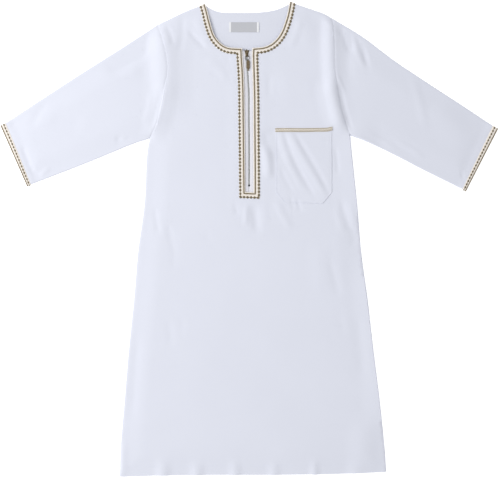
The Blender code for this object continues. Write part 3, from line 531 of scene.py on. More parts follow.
def seam_ditch(points):
    """How far the sewn armhole draws the cloth down."""
    gap = np.min([near_line(COARSE_LINES[name], points)[0] for name in ARMHOLE_NAMES], axis=0)
    return SEAM_DITCH * np.exp(-(gap / SEAM_WIDE) ** 2)


def rounded(points):
    """Share by which the cloth turns down to its sewn edges."""
    gap = np.min([near_line(COARSE_LINES[name], points)[0] for name in SEAM_NAMES], axis=0)
    return 1.0 - round_over(gap, EDGE_ROUND)


def placed(points):
    """Garment millimetres as the frame's metres."""
    return (np.asarray(points, dtype=float) - [MIDDLE[0], MIDDLE[1], 0.0]) * METRES


Shape = namedtuple("Shape", "points faces marks")


def shape(points, faces, marks=None):
    """Points, faces and, for braid and thread, how far along and across each point is."""
    points = np.asarray(points, dtype=float)
    return Shape(points, [tuple(int(number) for number in face) for face in faces],
                 np.zeros((len(points), 3)) if marks is None else np.asarray(marks, dtype=float))


def gathered(shapes):
    """Many shapes as one."""
    points, faces, marks = [], [], []
    first = 0
    for item in shapes:
        points.append(item.points)
        marks.append(item.marks)
        faces += [tuple(number + first for number in face) for face in item.faces]
        first += len(item.points)
    return Shape(np.vstack(points), faces, np.vstack(marks))


def grid_faces(rows, count, first=0, loop_rows=False, loop_round=False):
    """Four-sided faces between neighbouring rows of as many points each."""
    faces = []
    for row in range(rows if loop_rows else rows - 1):
        near, far = first + row * count, first + (row + 1) % rows * count
        for step in range(count if loop_round else count - 1):
            after = (step + 1) % count
            faces.append((near + step, near + after, far + after, far + step))
    return faces


def end_faces(rows, count):
    """Faces that close the first and the last ring of a solid of rings."""
    return [tuple(range(count)), tuple(reversed(range((rows - 1) * count, rows * count)))]


def slab_faces(rows, count, turned=False):
    """Faces of a slab: a grid of points over a like grid, whose diagonals may be turned, joined by a rim."""
    under = rows * count
    rim = (list(range(count - 1)) + [row * count + count - 1 for row in range(rows - 1)]
           + list(range(under - 1, under - count, -1)) + [row * count for row in range(rows - 1, 0, -1)])
    base = grid_faces(rows, count, first=under)
    if turned:
        base = [face[1:] + face[:1] for face in base]
    wall = [(start, end, end + under, start + under) for start, end in zip(rim, rim[1:] + rim[:1])]
    return grid_faces(rows, count) + base + wall


def row_marks(numbers, count):
    """Marks of rows of points: the place in its row and the row's number."""
    return np.vstack([np.column_stack([np.arange(count), np.full(count, number), np.zeros(count)])
                      for number in numbers])


def rope(line, ups, wide, high, sides=8, closed=False):
    """Rounded cord along a line: half widths across and along the up vectors, whole or one for each place."""
    line = np.asarray(line, dtype=float)
    ups = np.broadcast_to(np.asarray(ups, dtype=float), line.shape)
    wide = np.broadcast_to(np.asarray(wide, dtype=float), (len(line),))[:, None, None]
    high = np.broadcast_to(np.asarray(high, dtype=float), (len(line),))[:, None, None]
    heading = np.roll(line, -1, axis=0) - np.roll(line, 1, axis=0) if closed else np.gradient(line, axis=0)
    across = unit(np.cross(heading, ups))
    angle = 2 * math.pi * (np.arange(sides) + 0.5) / sides
    ring = (across[:, None] * wide * np.cos(angle)[None, :, None]
            + ups[:, None] * high * np.sin(angle)[None, :, None])
    points = (line[:, None] + ring).reshape(-1, 3)
    marks = np.column_stack([np.repeat(runs_of(line), sides), np.tile(angle, len(line)),
                             np.zeros(len(points))])
    faces = grid_faces(len(line), sides, loop_rows=closed, loop_round=True)
    return shape(points, faces if closed else faces + end_faces(len(line), sides), marks)


def ribbon(rows, heights, low):
    """Closed band over rows of places: each row's height over the cloth, and the height of its back."""
    ground = [cloth_top(row) for row in rows]
    top = [np.column_stack([row, level + height]) for row, level, height in zip(rows, ground, heights)]
    base = [np.column_stack([row, level + low]) for row, level in zip(rows, ground)]
    count, long = len(rows), len(rows[0])
    faces = slab_faces(count, long, turned=True)
    return shape(np.vstack(top + base), faces, row_marks(list(range(count)) * 2, long))


def beads(places, headings, ups, size):
    """Rhombic thread beads, each set over its place, in line with its heading."""
    long, wide, high = size
    angle = 2 * math.pi * np.arange(BEAD_SIDES) / BEAD_SIDES
    reach = (np.abs(np.cos(angle)) ** BEAD_POWER + np.abs(np.sin(angle)) ** BEAD_POWER) ** (-1 / BEAD_POWER)
    flat = np.column_stack([reach * np.cos(angle), reach * np.sin(angle)])
    tip = len(BEAD_LEVELS) * BEAD_SIDES
    faces = [tuple(reversed(range(BEAD_SIDES)))] + grid_faces(len(BEAD_LEVELS), BEAD_SIDES, loop_round=True)
    faces += [(tip - BEAD_SIDES + side, tip - BEAD_SIDES + (side + 1) % BEAD_SIDES, tip)
              for side in range(BEAD_SIDES)]
    result = []
    for number, (place, heading, up) in enumerate(zip(places, headings, ups)):
        heading = unit(np.asarray(heading, dtype=float))
        across = unit(np.cross(heading, up))
        points = [place + heading * x * share * long / 2 + across * y * share * wide / 2 + up * lift * high
                  for share, lift in BEAD_LEVELS for x, y in flat]
        points.append(place + up * high)
        marks = [(number, math.atan2(y, x), 0.0) for _ in BEAD_LEVELS for x, y in flat] + [(number, 0.0, 0.0)]
        result.append(shape(points, faces, marks))
    return gathered(result)


def thread_runs(line, up, pitch, long, radius):
    """Sewn stitches along a line, sunk a little at their ends."""
    result = []
    for number in range(max(1, int(length_of(line) / pitch))):
        places = at_distances(line, (number + 0.5) * pitch + STITCH_PLACES * long)
        places = places + np.outer(STITCH_DIPS * radius, up)
        result.append(rope(places, up, STITCH_THICK * radius, STITCH_THICK * radius, sides=6))
    return gathered(result)


def inset(outline, distance):
    """A closed counter-clockwise outline drawn in by a distance."""
    outline = np.asarray(outline, dtype=float)
    before = unit(outline - np.roll(outline, 1, axis=0))
    after = unit(np.roll(outline, -1, axis=0) - outline)
    turned = unit(before + after)
    normal = np.column_stack([-turned[:, 1], turned[:, 0]])
    cosine = np.maximum((turned * after).sum(axis=1), 0.45)
    return outline + normal * (distance / cosine)[:, None]


def plate(outline, profile):
    """Solid over an outline whose edge follows a profile of insets and heights from the bottom up."""
    count, rows = len(outline), len(profile)
    rings = [np.column_stack([inset(outline, step), np.full(count, height)]) for step, height in profile]
    faces = [tuple(reversed(range(count)))] + grid_faces(rows, count, loop_round=True)
    return shape(np.vstack(rings), faces + [tuple(range((rows - 1) * count, rows * count))])


def mirrored(half):
    """Whole counter-clockwise outline from its right half, given from the top of the middle line down."""
    return [(-x, y) for x, y in half] + [(x, y) for x, y in half[-2:0:-1]]


def moved(item, shift):
    """A shape moved by a vector."""
    return Shape(item.points + np.asarray(shift, dtype=float), item.faces, item.marks)


def staggered(loop, step, low, high):
    """Rows of points inside a loop between two heights, each row set off by half a step."""
    left, right = loop[:, 0].min(), loop[:, 0].max()
    points = []
    for number, y in enumerate(np.arange(low + step / 2, high, step * ROW_STEP)):
        x = np.arange(left + step * (0.5 + 0.5 * (number % 2)), right, step)
        points.append(np.column_stack([x, np.full(len(x), y)]))
    points = np.vstack(points)
    return points[inside(loop, points)]


def lay_plan(loop, inner):
    """Points and triangles over the flat plan inside a closed outline, which keep its edges."""
    points = [Vector((float(x), float(y))) for x, y in np.vstack([loop, loop[:1], inner])]
    edges = [(number, number + 1) for number in range(len(loop))]
    result = delaunay_2d_cdt(points, edges, [], 0, 1e-3, False)
    places = np.array([(point.x, point.y) for point in result[0]])
    triangles = np.array([face for face in result[2] if len(face) == 3])
    return places, triangles[inside(loop, places[triangles].mean(axis=1))]


def panel(loop, edges, chest_step, skirt_step):
    """Plan of a body panel: its outline, rows along its edges and points over its face."""
    border = np.vstack([loop, loop[:1]])
    rows = np.vstack([line + side * distance * left_of(line)
                      for line in edges for distance in EDGE_ROWS for side in (-1.0, 1.0)])
    rows = rows[inside(loop, rows)]
    rows = rows[near_line(border, rows)[0] > 0.7 * EDGE_ROWS[0]]
    inner = np.vstack([staggered(loop, chest_step, CHEST_FOOT, CHEST_TOP),
                       staggered(loop, skirt_step, 0.0, CHEST_FOOT)])
    inner = inner[near_line(border, inner)[0] > EDGE_ROWS[-1] + 1.6]
    return lay_plan(loop, np.vstack([rows, inner]))


def shell(points, triangles, low, high):
    """Closed shell over the triangles, between two heights given at each point."""
    used = np.unique(triangles)
    place = np.full(len(points), -1)
    place[used] = np.arange(len(used))
    count = len(used)
    corners = np.vstack([np.column_stack([points[used], level[used]]) for level in (low, high)])
    flat = place[triangles]
    a, b, c = (points[used][flat[:, number]] for number in range(3))
    turned = (b[:, 0] - a[:, 0]) * (c[:, 1] - a[:, 1]) - (c[:, 0] - a[:, 0]) * (b[:, 1] - a[:, 1]) < 0.0
    flat[turned] = flat[turned][:, [0, 2, 1]]
    faces = (flat + count).tolist() + flat[:, ::-1].tolist()
    directed = {(int(start), int(end)) for pair in ((0, 1), (1, 2), (2, 0))
                for start, end in zip(flat[:, pair[0]], flat[:, pair[1]])}
    faces += [(start, end, end + count, start + count)
              for start, end in sorted(directed) if (end, start) not in directed]
    return shape(corners, faces)


def neck_runs():
    """The braid's five runs, from the right shoulder round the slit to the left shoulder."""
    right, down, up, left = (smooth_line(line, NECK_STEP)
                             for line in (NECK_RIGHT, SLIT_RIGHT, SLIT_LEFT, NECK_LEFT))
    foot = along(np.array([SLIT_RIGHT[-1], SLIT_LEFT[-1]], dtype=float), np.linspace(0.0, 1.0, 12))
    return [right, down, foot, up[::-1], left[::-1]]


NECK_RUNS = neck_runs()


def corner_turn(before, after):
    """Angle by which the braid turns left from one run to the next."""
    first, second = unit(before[-1] - before[-2]), unit(after[1] - after[0])
    return math.atan2(first[0] * second[1] - first[1] * second[0], float(first @ second))


NECK_TURNS = [0.0] + [corner_turn(*pair) for pair in zip(NECK_RUNS[:-1], NECK_RUNS[1:])] + [0.0]


def shoulder_cut(line):
    """Distance along a neck line, given from its top down, at which it leaves the shoulder."""
    x, y, slope = NECK_ENDS[0] if line[0][0] > 0.0 else NECK_ENDS[1]
    over = line[:, 1] - (y + slope * (line[:, 0] - x))
    runs = runs_of(line)
    under = int(np.argmax(over < 0.0))
    share = over[under - 1] / (over[under - 1] - over[under])
    return runs[under - 1] + share * (runs[under] - runs[under - 1])


def neck_row(distance, step=NECK_STEP):
    """Line beside the edge cord, a distance into the cloth, mitred at the corners of the slit."""
    spare = 20.0  # longer than any mitre reaches
    result = []
    for run, turn_in, turn_out in zip(NECK_RUNS, NECK_TURNS[:-1], NECK_TURNS[1:]):
        line = run + distance * left_of(run)
        line = np.vstack([line[0] - spare * unit(line[1] - line[0]), line,
                          line[-1] + spare * unit(line[-1] - line[-2])])
        first = spare + distance * math.tan(turn_in / 2)
        last = length_of(line) - spare - distance * math.tan(turn_out / 2)
        if run is NECK_RUNS[0]:
            first = shoulder_cut(line)
        if run is NECK_RUNS[-1]:
            last = length_of(line) - shoulder_cut(line[::-1])
        count = max(2, round(length_of(run) / step))
        result.append(at_distances(line, np.linspace(first, last, count + 1))[:-1])
    result.append(at_distances(line, [last]))
    return np.vstack(result)


Sleeve = namedtuple("Sleeve", "name armhole top under outward")
SLEEVES = [
    Sleeve("right", ARMHOLE_LEFT, SLEEVE_TOP_LEFT, SLEEVE_UNDER_LEFT, -1.0),
    Sleeve("left", ARMHOLE_RIGHT, SLEEVE_TOP_RIGHT, SLEEVE_UNDER_RIGHT, 1.0),
]
SLEEVE_PARTS = 60
SLEEVE_EDGE = (0.0, 0.35, 1.0, 2.0, 3.4)
SLEEVE_ROUND = 3.6
SLEEVE_WALL = 0.5
SLEEVE_RINGS = 82
SLEEVE_CAP = 70.0


def sleeve_edges(sleeve):
    """A sleeve's armhole, top fold and under fold as fine lines, and its mean length."""
    armhole = along(smooth_line(sleeve.armhole, 2.0), np.linspace(0.0, 1.0, SLEEVE_PARTS + 1))
    armhole = armhole + [0.05 * sleeve.outward, 0.0]
    top = smooth_line([tuple(armhole[0])] + sleeve.top[1:], 4.0)
    under = smooth_line([tuple(armhole[-1])] + sleeve.under[1:], 4.0)
    return armhole, top, under, 0.5 * (length_of(top) + length_of(under))


def sleeve_ring(edges, mark, out):
    """Closed ring round a flattened sleeve at a distance from the armhole, moved out, and its ups."""
    armhole, top, under, reach = edges
    part = mark / reach
    lift = CUFF_LIFT * float(ease((mark - (reach - CUFF_BRAID - CUFF_RUN)) / CUFF_RUN))
    top_place, under_place = along(top, [part])[0], along(under, [part])[0]
    wide = float(np.linalg.norm(under_place - top_place))
    edge = np.array(SLEEVE_EDGE) / wide
    shares = np.concatenate([edge, np.linspace(0.0, 1.0, SLEEVE_PARTS + 1)[2:-2], 1.0 - edge[::-1]])
    bow = along(armhole, shares) - (1 - shares)[:, None] * armhole[0] - shares[:, None] * armhole[-1]
    places = (1 - shares)[:, None] * top_place + shares[:, None] * under_place + (1 - part) * bow
    middle = 0.5 * (CLOTH + FRONT_REST) + lift
    ditch = SEAM_DITCH * math.exp(-(mark / SEAM_WIDE) ** 2)
    gap = np.minimum(shares, 1.0 - shares) * wide
    turn = round_over(gap, SLEEVE_ROUND)
    high = middle + (cloth_top(places) + lift - ditch - middle) * turn
    low = middle + (lift + 0.35 * ditch - middle) * turn
    loop = np.vstack([np.column_stack([places, high]), np.column_stack([places, low])[-2:0:-1]])
    sideways = unit(under_place - top_place)
    flat = (1.0 - turn) * np.where(shares < 0.5, -1.0, 1.0)
    ups = np.column_stack([flat[:, None] * sideways, turn])
    downs = np.column_stack([flat[:, None] * sideways, -turn])
    ups = unit(np.vstack([ups, downs[-2:0:-1]]))
    return loop + ups * out, ups


def tube(rings):
    """Open tube wall from closed rings, the last ring joined to the first as its inside."""
    rows, count = len(rings), len(rings[0])
    faces = grid_faces(rows, count, loop_rows=True, loop_round=True)
    return shape(np.vstack(rings), faces, row_marks(range(rows), count))


class Socket:
    """A shader socket in a Python expression: each operator adds its Math node."""

    def __init__(self, tree, socket):
        self.tree = tree
        self.socket = socket

    def math(self, operation, *values):
        """A Math node on these values, in their order."""
        node = self.tree.nodes.new("ShaderNodeMath")
        node.operation = operation
        for slot, value in zip(node.inputs, values):
            if isinstance(value, Socket):
                self.tree.links.new(value.socket, slot)
            else:
                slot.default_value = value
        return Socket(self.tree, node.outputs[0])

    def __add__(self, other):
        return self.math("ADD", self, other)

    __radd__ = __add__

    def __mul__(self, other):
        return self.math("MULTIPLY", self, other)

    __rmul__ = __mul__

    def __sub__(self, other):
        return self.math("SUBTRACT", self, other)

    def __rsub__(self, other):
        return self.math("SUBTRACT", other, self)

    def __truediv__(self, other):
        return self.math("DIVIDE", self, other)

    def __rtruediv__(self, other):
        return self.math("DIVIDE", other, self)

    def __pow__(self, other):
        return self.math("POWER", self, other)

    def __abs__(self):
        return self.math("ABSOLUTE", self)

    def sine(self):
        """Sine of this value."""
        return self.math("SINE", self)

    def below(self, other):
        """1 where this value is under the other, else 0."""
        return self.math("LESS_THAN", self, other)

    def wrapped(self, size):
        """What is left of this value over whole multiples of a size."""
        return self.math("FLOORED_MODULO", self, size)


class Finish:
    """A material under construction."""

    def __init__(self, name):
        self.material = bpy.data.materials.new(name)
        self.material.use_nodes = True
        self.tree = self.material.node_tree
        self.shader = self.tree.nodes["Principled BSDF"]

    def node(self, kind, settings=None, out=0, **values):
        """Any node by its type: its settings first, then the values or links of its sockets."""
        node = self.tree.nodes.new(kind)
        for name, value in (settings or {}).items():
            if name == "stops":
                ramp = node.color_ramp
                while len(ramp.elements) < len(value):
                    ramp.elements.new(0.5)
                for element, (place, colour) in zip(ramp.elements, value):
                    element.position = place
                    element.color = (*colour, 1.0)
            else:
                setattr(node, name, value)
        for name, value in values.items():
            self.put(node, name, value)
        return Socket(self.tree, node.outputs[out])

    def put(self, node, name, value):
        """A value or link on a node's socket, named with its spaces as underscores, or by its number."""
        slot = node.inputs[int(name[1:])] if name[1:].isdigit() else node.inputs[name.replace("_", " ")]
        if isinstance(value, Socket):
            self.tree.links.new(value.socket, slot)
        elif hasattr(value, "__len__") and len(value) == 3 and slot.type == "RGBA":
            slot.default_value = (*value, 1.0)
        else:
            slot.default_value = value

    def place(self):
        """Place on the piece, in metres."""
        return self.node("ShaderNodeTexCoord", out=3)

    def parts(self, vector):
        """The three numbers of a vector."""
        node = self.tree.nodes.new("ShaderNodeSeparateXYZ")
        self.tree.links.new(vector.socket, node.inputs[0])
        return [Socket(self.tree, slot) for slot in node.outputs]

    def marks(self):
        """How far along and across the braid or thread a place is."""
        return self.parts(self.node("ShaderNodeAttribute", {"attribute_name": "run"}, out=1))

    def noise(self, scale, detail=3.0, roughness=0.5):
        """Noise over the piece, around 0.5."""
        return self.node("ShaderNodeTexNoise", Vector=self.place(), Scale=scale, Detail=detail,
                         Roughness=roughness)

    def mix(self, share, first, second):
        """Colour between two colours."""
        return self.node("ShaderNodeMix", {"data_type": "RGBA"}, out=2, _0=share, _6=first, _7=second)

    def weave(self, pitch):
        """Height of a plain weave, from 0 to 1, its yarns a pitch apart in metres."""
        x, y, _ = self.parts(self.place())
        turn = 2 * math.pi / pitch
        warp = (x * turn).sine()
        weft = (y * turn).sine()
        over = (x * (turn / 2)).sine() * (y * (turn / 2)).sine()
        return warp * weft * 0.25 + abs(over) * 0.5 + 0.25

    def bump(self, height, strength, distance):
        """A Bump node's normal from a height."""
        return self.node("ShaderNodeBump", Height=height, Strength=strength, Distance=distance)

    def surface(self, **values):
        """Values and links of the Principled shader, named by its sockets."""
        for name, value in values.items():
            self.put(self.shader, name, value)
        return self.material


def cloth_finish(name, colour, pitch, roughness=0.88, sheen=0.25, drift=0.02):
    """Plain woven cloth: yarns, soft unevenness of the yarn and a light sheen."""
    finish = Finish(name)
    uneven = finish.noise(9.0, detail=4.0)
    fine = finish.noise(900.0, detail=2.0)
    pale = tuple(min(1.0, value * (1.0 + drift)) for value in colour)
    deep = tuple(value * (1.0 - drift) for value in colour)
    height = finish.weave(pitch) + fine * 0.5
    return finish.surface(
        Base_Color=finish.mix(uneven, deep, pale), Roughness=roughness,
        Sheen_Weight=sheen, Sheen_Roughness=0.5, Specular_IOR_Level=0.25,
        Normal=finish.bump(height, 0.35, 0.00008))


def cream_finish(name, cream, gold):
    """Cream ground of the braid: ribbed across, with fine gold threads along its edges."""
    finish = Finish(name)
    along_run, across, _ = finish.marks()
    rib = (along_run * math.pi).sine() * 0.5 + 0.5
    fine = finish.noise(1500.0, detail=2.0)
    shade = finish.mix(fine, tuple(value * 0.9 for value in cream), cream)
    glint = finish.noise(420.0).below(0.42) * across.below(2.4) * 0.12
    return finish.surface(
        Base_Color=finish.mix(glint, shade, gold), Roughness=0.62, Sheen_Weight=0.2,
        Specular_IOR_Level=0.35, Normal=finish.bump(rib * 0.6 + fine * 0.5, 0.6, 0.0002))


def gold_finish(name, gold):
    """Metallic thread: wrapped strands, worn bright and dark along their length."""
    finish = Finish(name)
    along_run, angle, _ = finish.marks()
    strand = (along_run * (2 * math.pi / 1.6) + angle * 2.0).sine() * 0.5 + 0.5
    patch = finish.noise(160.0, detail=3.0)
    fine = finish.noise(1800.0, detail=2.0)
    dark = tuple(value * 0.45 for value in gold)
    pale = (min(1.0, gold[0] * 1.9), min(1.0, gold[1] * 1.9), min(1.0, gold[2] * 2.1))
    colour = finish.mix(strand * 0.75, dark, gold)
    colour = finish.mix(patch * fine * 0.9, colour, pale)
    return finish.surface(
        Base_Color=colour, Metallic=0.45, Roughness=finish.noise(300.0) * 0.3 + 0.32,
        Specular_IOR_Level=0.5, Normal=finish.bump(strand + fine * 0.6, 0.7, 0.0003))


def metal_finish(name, colour, metallic, roughness, wear):
    """Small cast metal part: uneven plating, rubbed brighter in places, with fine scratches."""
    finish = Finish(name)
    patch = finish.noise(700.0, detail=4.0)
    scratch = finish.node("ShaderNodeTexWave", {"bands_direction": "X"}, out=1, Vector=finish.place(),
                          Scale=900.0, Distortion=9.0, Detail=3.0)
    pale = tuple(min(1.0, value * wear) for value in colour)
    return finish.surface(
        Base_Color=finish.mix(patch ** 2.0, colour, pale), Metallic=metallic,
        Roughness=patch * 0.25 + roughness, Normal=finish.bump(scratch * 0.4 + patch, 0.25, 0.00005))


def tape_finish(name, colour):
    """Zip tape: herringbone twill with faint long ribs."""
    finish = Finish(name)
    x, y, _ = finish.parts(finish.place())
    slant = (x * 2600.0 + y * 2600.0).sine() * 0.5 + 0.5
    ribs = (x * 1570.0).sine() * 0.5 + 0.5
    return finish.surface(
        Base_Color=finish.mix(finish.noise(60.0), tuple(value * 0.95 for value in colour), colour),
        Roughness=0.9, Sheen_Weight=0.15, Specular_IOR_Level=0.25,
        Normal=finish.bump(slant * 0.5 + ribs, 0.5, 0.00015))


def satin_finish(name, colour):
    """Label satin: long smooth floats with a soft gloss and pale woven margins."""
    finish = Finish(name)
    x, y, _ = finish.parts(finish.place())
    left = (LABEL_X[0] - MIDDLE[0] + 4.0) * METRES
    right = (LABEL_X[1] - MIDDLE[0] - 4.0) * METRES
    margin = x.below(left) + (1.0 - x.below(right))
    floats = (y * 9000.0).sine() * 0.5 + 0.5
    pale = (0.86, 0.87, 0.90)
    body = finish.mix(finish.noise(500.0, detail=2.0), tuple(value * 0.92 for value in colour), colour)
    return finish.surface(
        Base_Color=finish.mix(margin, body, pale), Roughness=0.42, Sheen_Weight=0.1,
        Specular_IOR_Level=0.4, Normal=finish.bump(floats + finish.noise(2500.0) * 0.3, 0.4, 0.00006))


def floor_finish(colour, glow):
    """Pale studio paper, lit to a clean white."""
    finish = Finish("studio_paper")
    return finish.surface(Base_Color=colour, Roughness=0.9, Specular_IOR_Level=0.1,
                          Emission_Color=(1.0, 1.0, 1.0), Emission_Strength=glow)


def new_piece(name, item, material, body="robe", stands_for=(), sharp=SHARP):
    """Object from a shape in garment millimetres, carried by a body of the frame."""
    mesh = bpy.data.meshes.new(name)
    mesh.from_pydata(placed(item.points).tolist(), [], item.faces)
    run = mesh.attributes.new("run", "FLOAT_VECTOR", "POINT")
    run.data.foreach_set("vector", item.marks.astype(np.float32).ravel())
    turned = bmesh.new()
    turned.from_mesh(mesh)
    bmesh.ops.recalc_face_normals(turned, faces=turned.faces)
    turned.to_mesh(mesh)
    turned.free()
    mesh.shade_smooth()
    mesh.set_sharp_from_angle(angle=sharp)
    mesh.materials.append(material)
    piece = bpy.data.objects.new(name, mesh)
    bpy.context.scene.collection.objects.link(piece)
    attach(piece, body)
    if stands_for:
        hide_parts(*stands_for)
    return piece


def material_named(name, maker, *values):
    """A finish made once and shared by its pieces."""
    return bpy.data.materials.get(name) or maker(name, *values)


def white_cloth(props):
    """The robe's own cloth."""
    return material_named("woven_white", cloth_finish, tuple(props.colour), props.yarn_pitch)


def inner_cloth(props):
    """The back panel's cloth, a shade duller inside the neck."""
    duller = tuple(0.97 * part for part in props.colour)
    return material_named("woven_white_inside", cloth_finish, duller, props.yarn_pitch)


def gold_thread(props):
    """The braid's gold."""
    return material_named("gold_thread", gold_finish, tuple(props.gold))


def bead_thread(props):
    """The beads' duller, darker gold."""
    return material_named("bead_thread", gold_finish, tuple(0.8 * part for part in props.gold))


def trim_thread(props):
    """Yellower gold thread of the pocket's trim."""
    yellower = tuple(share * part for share, part in zip((0.94, 0.94, 0.6), props.gold))
    return material_named("trim_thread", gold_finish, yellower)


def cream_ground(props):
    """The braid's cream ground."""
    return material_named("braid_cream", cream_finish, tuple(props.cream), tuple(props.gold))


def area_of(loop):
    """Area of a closed loop in square metres."""
    x, y = np.asarray(loop)[:, 0], np.asarray(loop)[:, 1]
    return 0.5 * abs(float(np.dot(x, np.roll(y, -1)) - np.dot(y, np.roll(x, -1)))) * METRES ** 2


def front_loop():
    """Outline of the front panel, its neck edge just inside the edge cord."""
    neck = neck_row(-BRAID_IN, 4.0)
    neck = neck[neck[:, 1] < 940.0]
    neck = np.vstack([LINES["shoulder right"][:1], neck, LINES["shoulder left"][:1]])
    return body_loop(LINES, neck)


def hem_step(points):
    """Height that the turned-up hem adds."""
    gap, _ = near_line(COARSE_LINES["hem"], points)
    return HEM_THICK * (1.0 - ease((gap - HEM_DEEP + 1.0) / 2.0))


def build_front(props):
    """Front panel."""
    loop = front_loop()
    edges = [LINES[name] for name in SEAM_NAMES + ARMHOLE_NAMES]
    points, triangles = panel(loop, edges, FINE_STEP, WIDE_STEP)
    turn = rounded(points)
    top = cloth_top(points) + hem_step(points) - seam_ditch(points)
    high = top - (top - SEAM_HEIGHT - SEAM_TIP) * turn
    low = high - THIN + (THIN - SEAM_TIP) * turn
    cloth = shell(points, triangles, low, high)
    piece = new_piece("front_panel", cloth, white_cloth(props), stands_for=("front",))


def build_back(props):
    """Back panel, flat on the floor."""
    loop = body_loop(LINES, smooth_line(BACK_NECK, FINE_STEP))
    points, triangles = panel(loop, [LINES[name] for name in SEAM_NAMES], BACK_CHEST_STEP, BACK_SKIRT_STEP)
    turn = rounded(points)
    uneven = 0.12 * np.sin(points[:, 0] / 37.0) * np.sin(points[:, 1] / 52.0)
    top = 1.0 + fold_heights(BACK_CREASES, points) + uneven
    high = top - (top - SEAM_HEIGHT) * turn
    cloth = shell(points, triangles, SEAM_TIP * turn, high)
    piece = new_piece("back_panel", cloth, inner_cloth(props), stands_for=("back",))


def build_sleeves(props):
    """Both sleeves: flattened tubes, open at the cuff."""
    for sleeve in SLEEVES:
        edges = sleeve_edges(sleeve)
        armhole, top, under, reach = edges
        marks = np.concatenate([[0.0, 1.2, 2.6], np.linspace(5.0, reach - 5.0, SLEEVE_RINGS),
                                [reach - 2.5, reach - 0.8, reach]])
        outer = [sleeve_ring(edges, mark, 0.0)[0] for mark in marks]
        inner = [sleeve_ring(edges, mark, -SLEEVE_WALL)[0] for mark in marks[::-1]]
        piece = new_piece("sleeve_tube_" + sleeve.name, tube(outer + inner), white_cloth(props),
                          stands_for=("sleeve_" + sleeve.name,))
        wide = 2 * length_of(np.array(sleeve.armhole, dtype=float)) * METRES
        long = (reach + SLEEVE_CAP) * METRES
        both_sides = 2 * area_of(np.vstack([top, under[::-1], armhole[::-1]]))
        min(both_sides, 0.99 * wide * long)


def along_cloth(line, lift):
    """Places over the upper cloth's top along a flat line."""
    return np.column_stack([line, cloth_top(line) + lift])


def at_pitch(line, pitch, closed=False):
    """Even places along a line and the headings there."""
    whole = np.vstack([line, line[:1]]) if closed else line
    total = length_of(whole)
    count = max(1, round(total / pitch))
    marks = (np.arange(count) + 0.5) * total / count
    ahead = at_distances(whole, np.minimum(marks + 1.0, total))
    behind = at_distances(whole, np.maximum(marks - 1.0, 0.0))
    return at_distances(whole, marks), unit(ahead - behind)


def build_neck_braid(props):
    """Braid round the neck and the slit: cream ground, edge cord, beads and their thread."""
    pitch = props.bead_pitch * MILLIMETRES
    wave = runs_of(neck_row(BEADS_AT))
    inner, outer = neck_row(BEADS_AT + 1.2), neck_row(EDGING_AT + 1.0)
    swing = (0.5 + 0.5 * np.cos(2 * math.pi * (wave / props.bead_pitch / MILLIMETRES - 0.5)))[:, None]
    rows = [neck_row(across) for across, _ in BASE_ROWS] + [inner + (outer - inner) * swing]
    ground = ribbon(rows, [height for _, height in BASE_ROWS] + [0.15], 0.02)
    new_piece("neck_braid_ground", ground, cream_ground(props), stands_for=("neck_braid",))
    cord = along_cloth(neck_row(0.0, 1.0), 0.95)
    bead_line = along_cloth(neck_row(BEADS_AT), 0.55)
    gold = gathered([
        rope(cord, UP, props.cord_width * 500.0, 0.65),
        rope(bead_line, UP, 0.55, 0.35, sides=6),
    ])
    new_piece("neck_braid_gold", gold, gold_thread(props))
    places, headings = at_pitch(bead_line, pitch)
    thread = beads(places, headings, np.broadcast_to(UP, places.shape), NECK_BEAD)
    new_piece("neck_braid_beads", thread, bead_thread(props))


def build_cuff_braids(props):
    """Braid round each cuff, on the upper and the under side."""
    pitch = props.bead_pitch * MILLIMETRES
    for sleeve in SLEEVES:
        edges = sleeve_edges(sleeve)
        reach = edges[-1]
        outer = [sleeve_ring(edges, reach - across, height)[0] for across, height in CUFF_ROWS]
        new_piece("cuff_braid_ground_" + sleeve.name, tube(outer), cream_ground(props),
                  stands_for=("cuff_braid_" + sleeve.name,))
        cord, cord_ups = sleeve_ring(edges, reach - CUFF_CORD_AT, 0.75)
        line, line_ups = sleeve_ring(edges, reach - CUFF_BEADS_AT, 0.5)
        gold = gathered([
            rope(cord, cord_ups, props.cord_width * 420.0, 0.5, closed=True),
            rope(line, line_ups, 0.5, 0.3, sides=6, closed=True),
        ])
        new_piece("cuff_braid_gold_" + sleeve.name, gold, gold_thread(props))
        places, headings = at_pitch(line, pitch, closed=True)
        ups = unit(at_pitch(np.column_stack([line, line_ups]), pitch, closed=True)[0][:, 3:])
        if len(ups) != len(places):
            ups = np.array([line_ups[np.argmin(np.linalg.norm(line - place, axis=1))] for place in places])
        thread = beads(places, headings, ups, CUFF_BEAD)
        new_piece("cuff_braid_beads_" + sleeve.name, thread, bead_thread(props))


def pocket_loop():
    """Pocket outline, counter-clockwise from its top left corner, in steps."""
    cut_x, cut_y = POCKET_CUT
    corners = np.array([
        (POCKET_LEFT, POCKET_TOP_LEFT), (POCKET_LEFT, POCKET_FOOT + cut_y),
        (POCKET_LEFT + cut_x, POCKET_FOOT), (POCKET_RIGHT - cut_x, POCKET_FOOT),
        (POCKET_RIGHT, POCKET_FOOT + cut_y), (POCKET_RIGHT, POCKET_TOP_RIGHT), (POCKET_LEFT, POCKET_TOP_LEFT),
    ])
    runs = []
    for start, end in zip(corners[:-1], corners[1:]):
        count = max(2, round(float(np.linalg.norm(end - start)) / POCKET_STEP))
        runs.append(along(np.array([start, end]), np.linspace(0.0, 1.0, count)[:-1]))
    return np.vstack(runs)


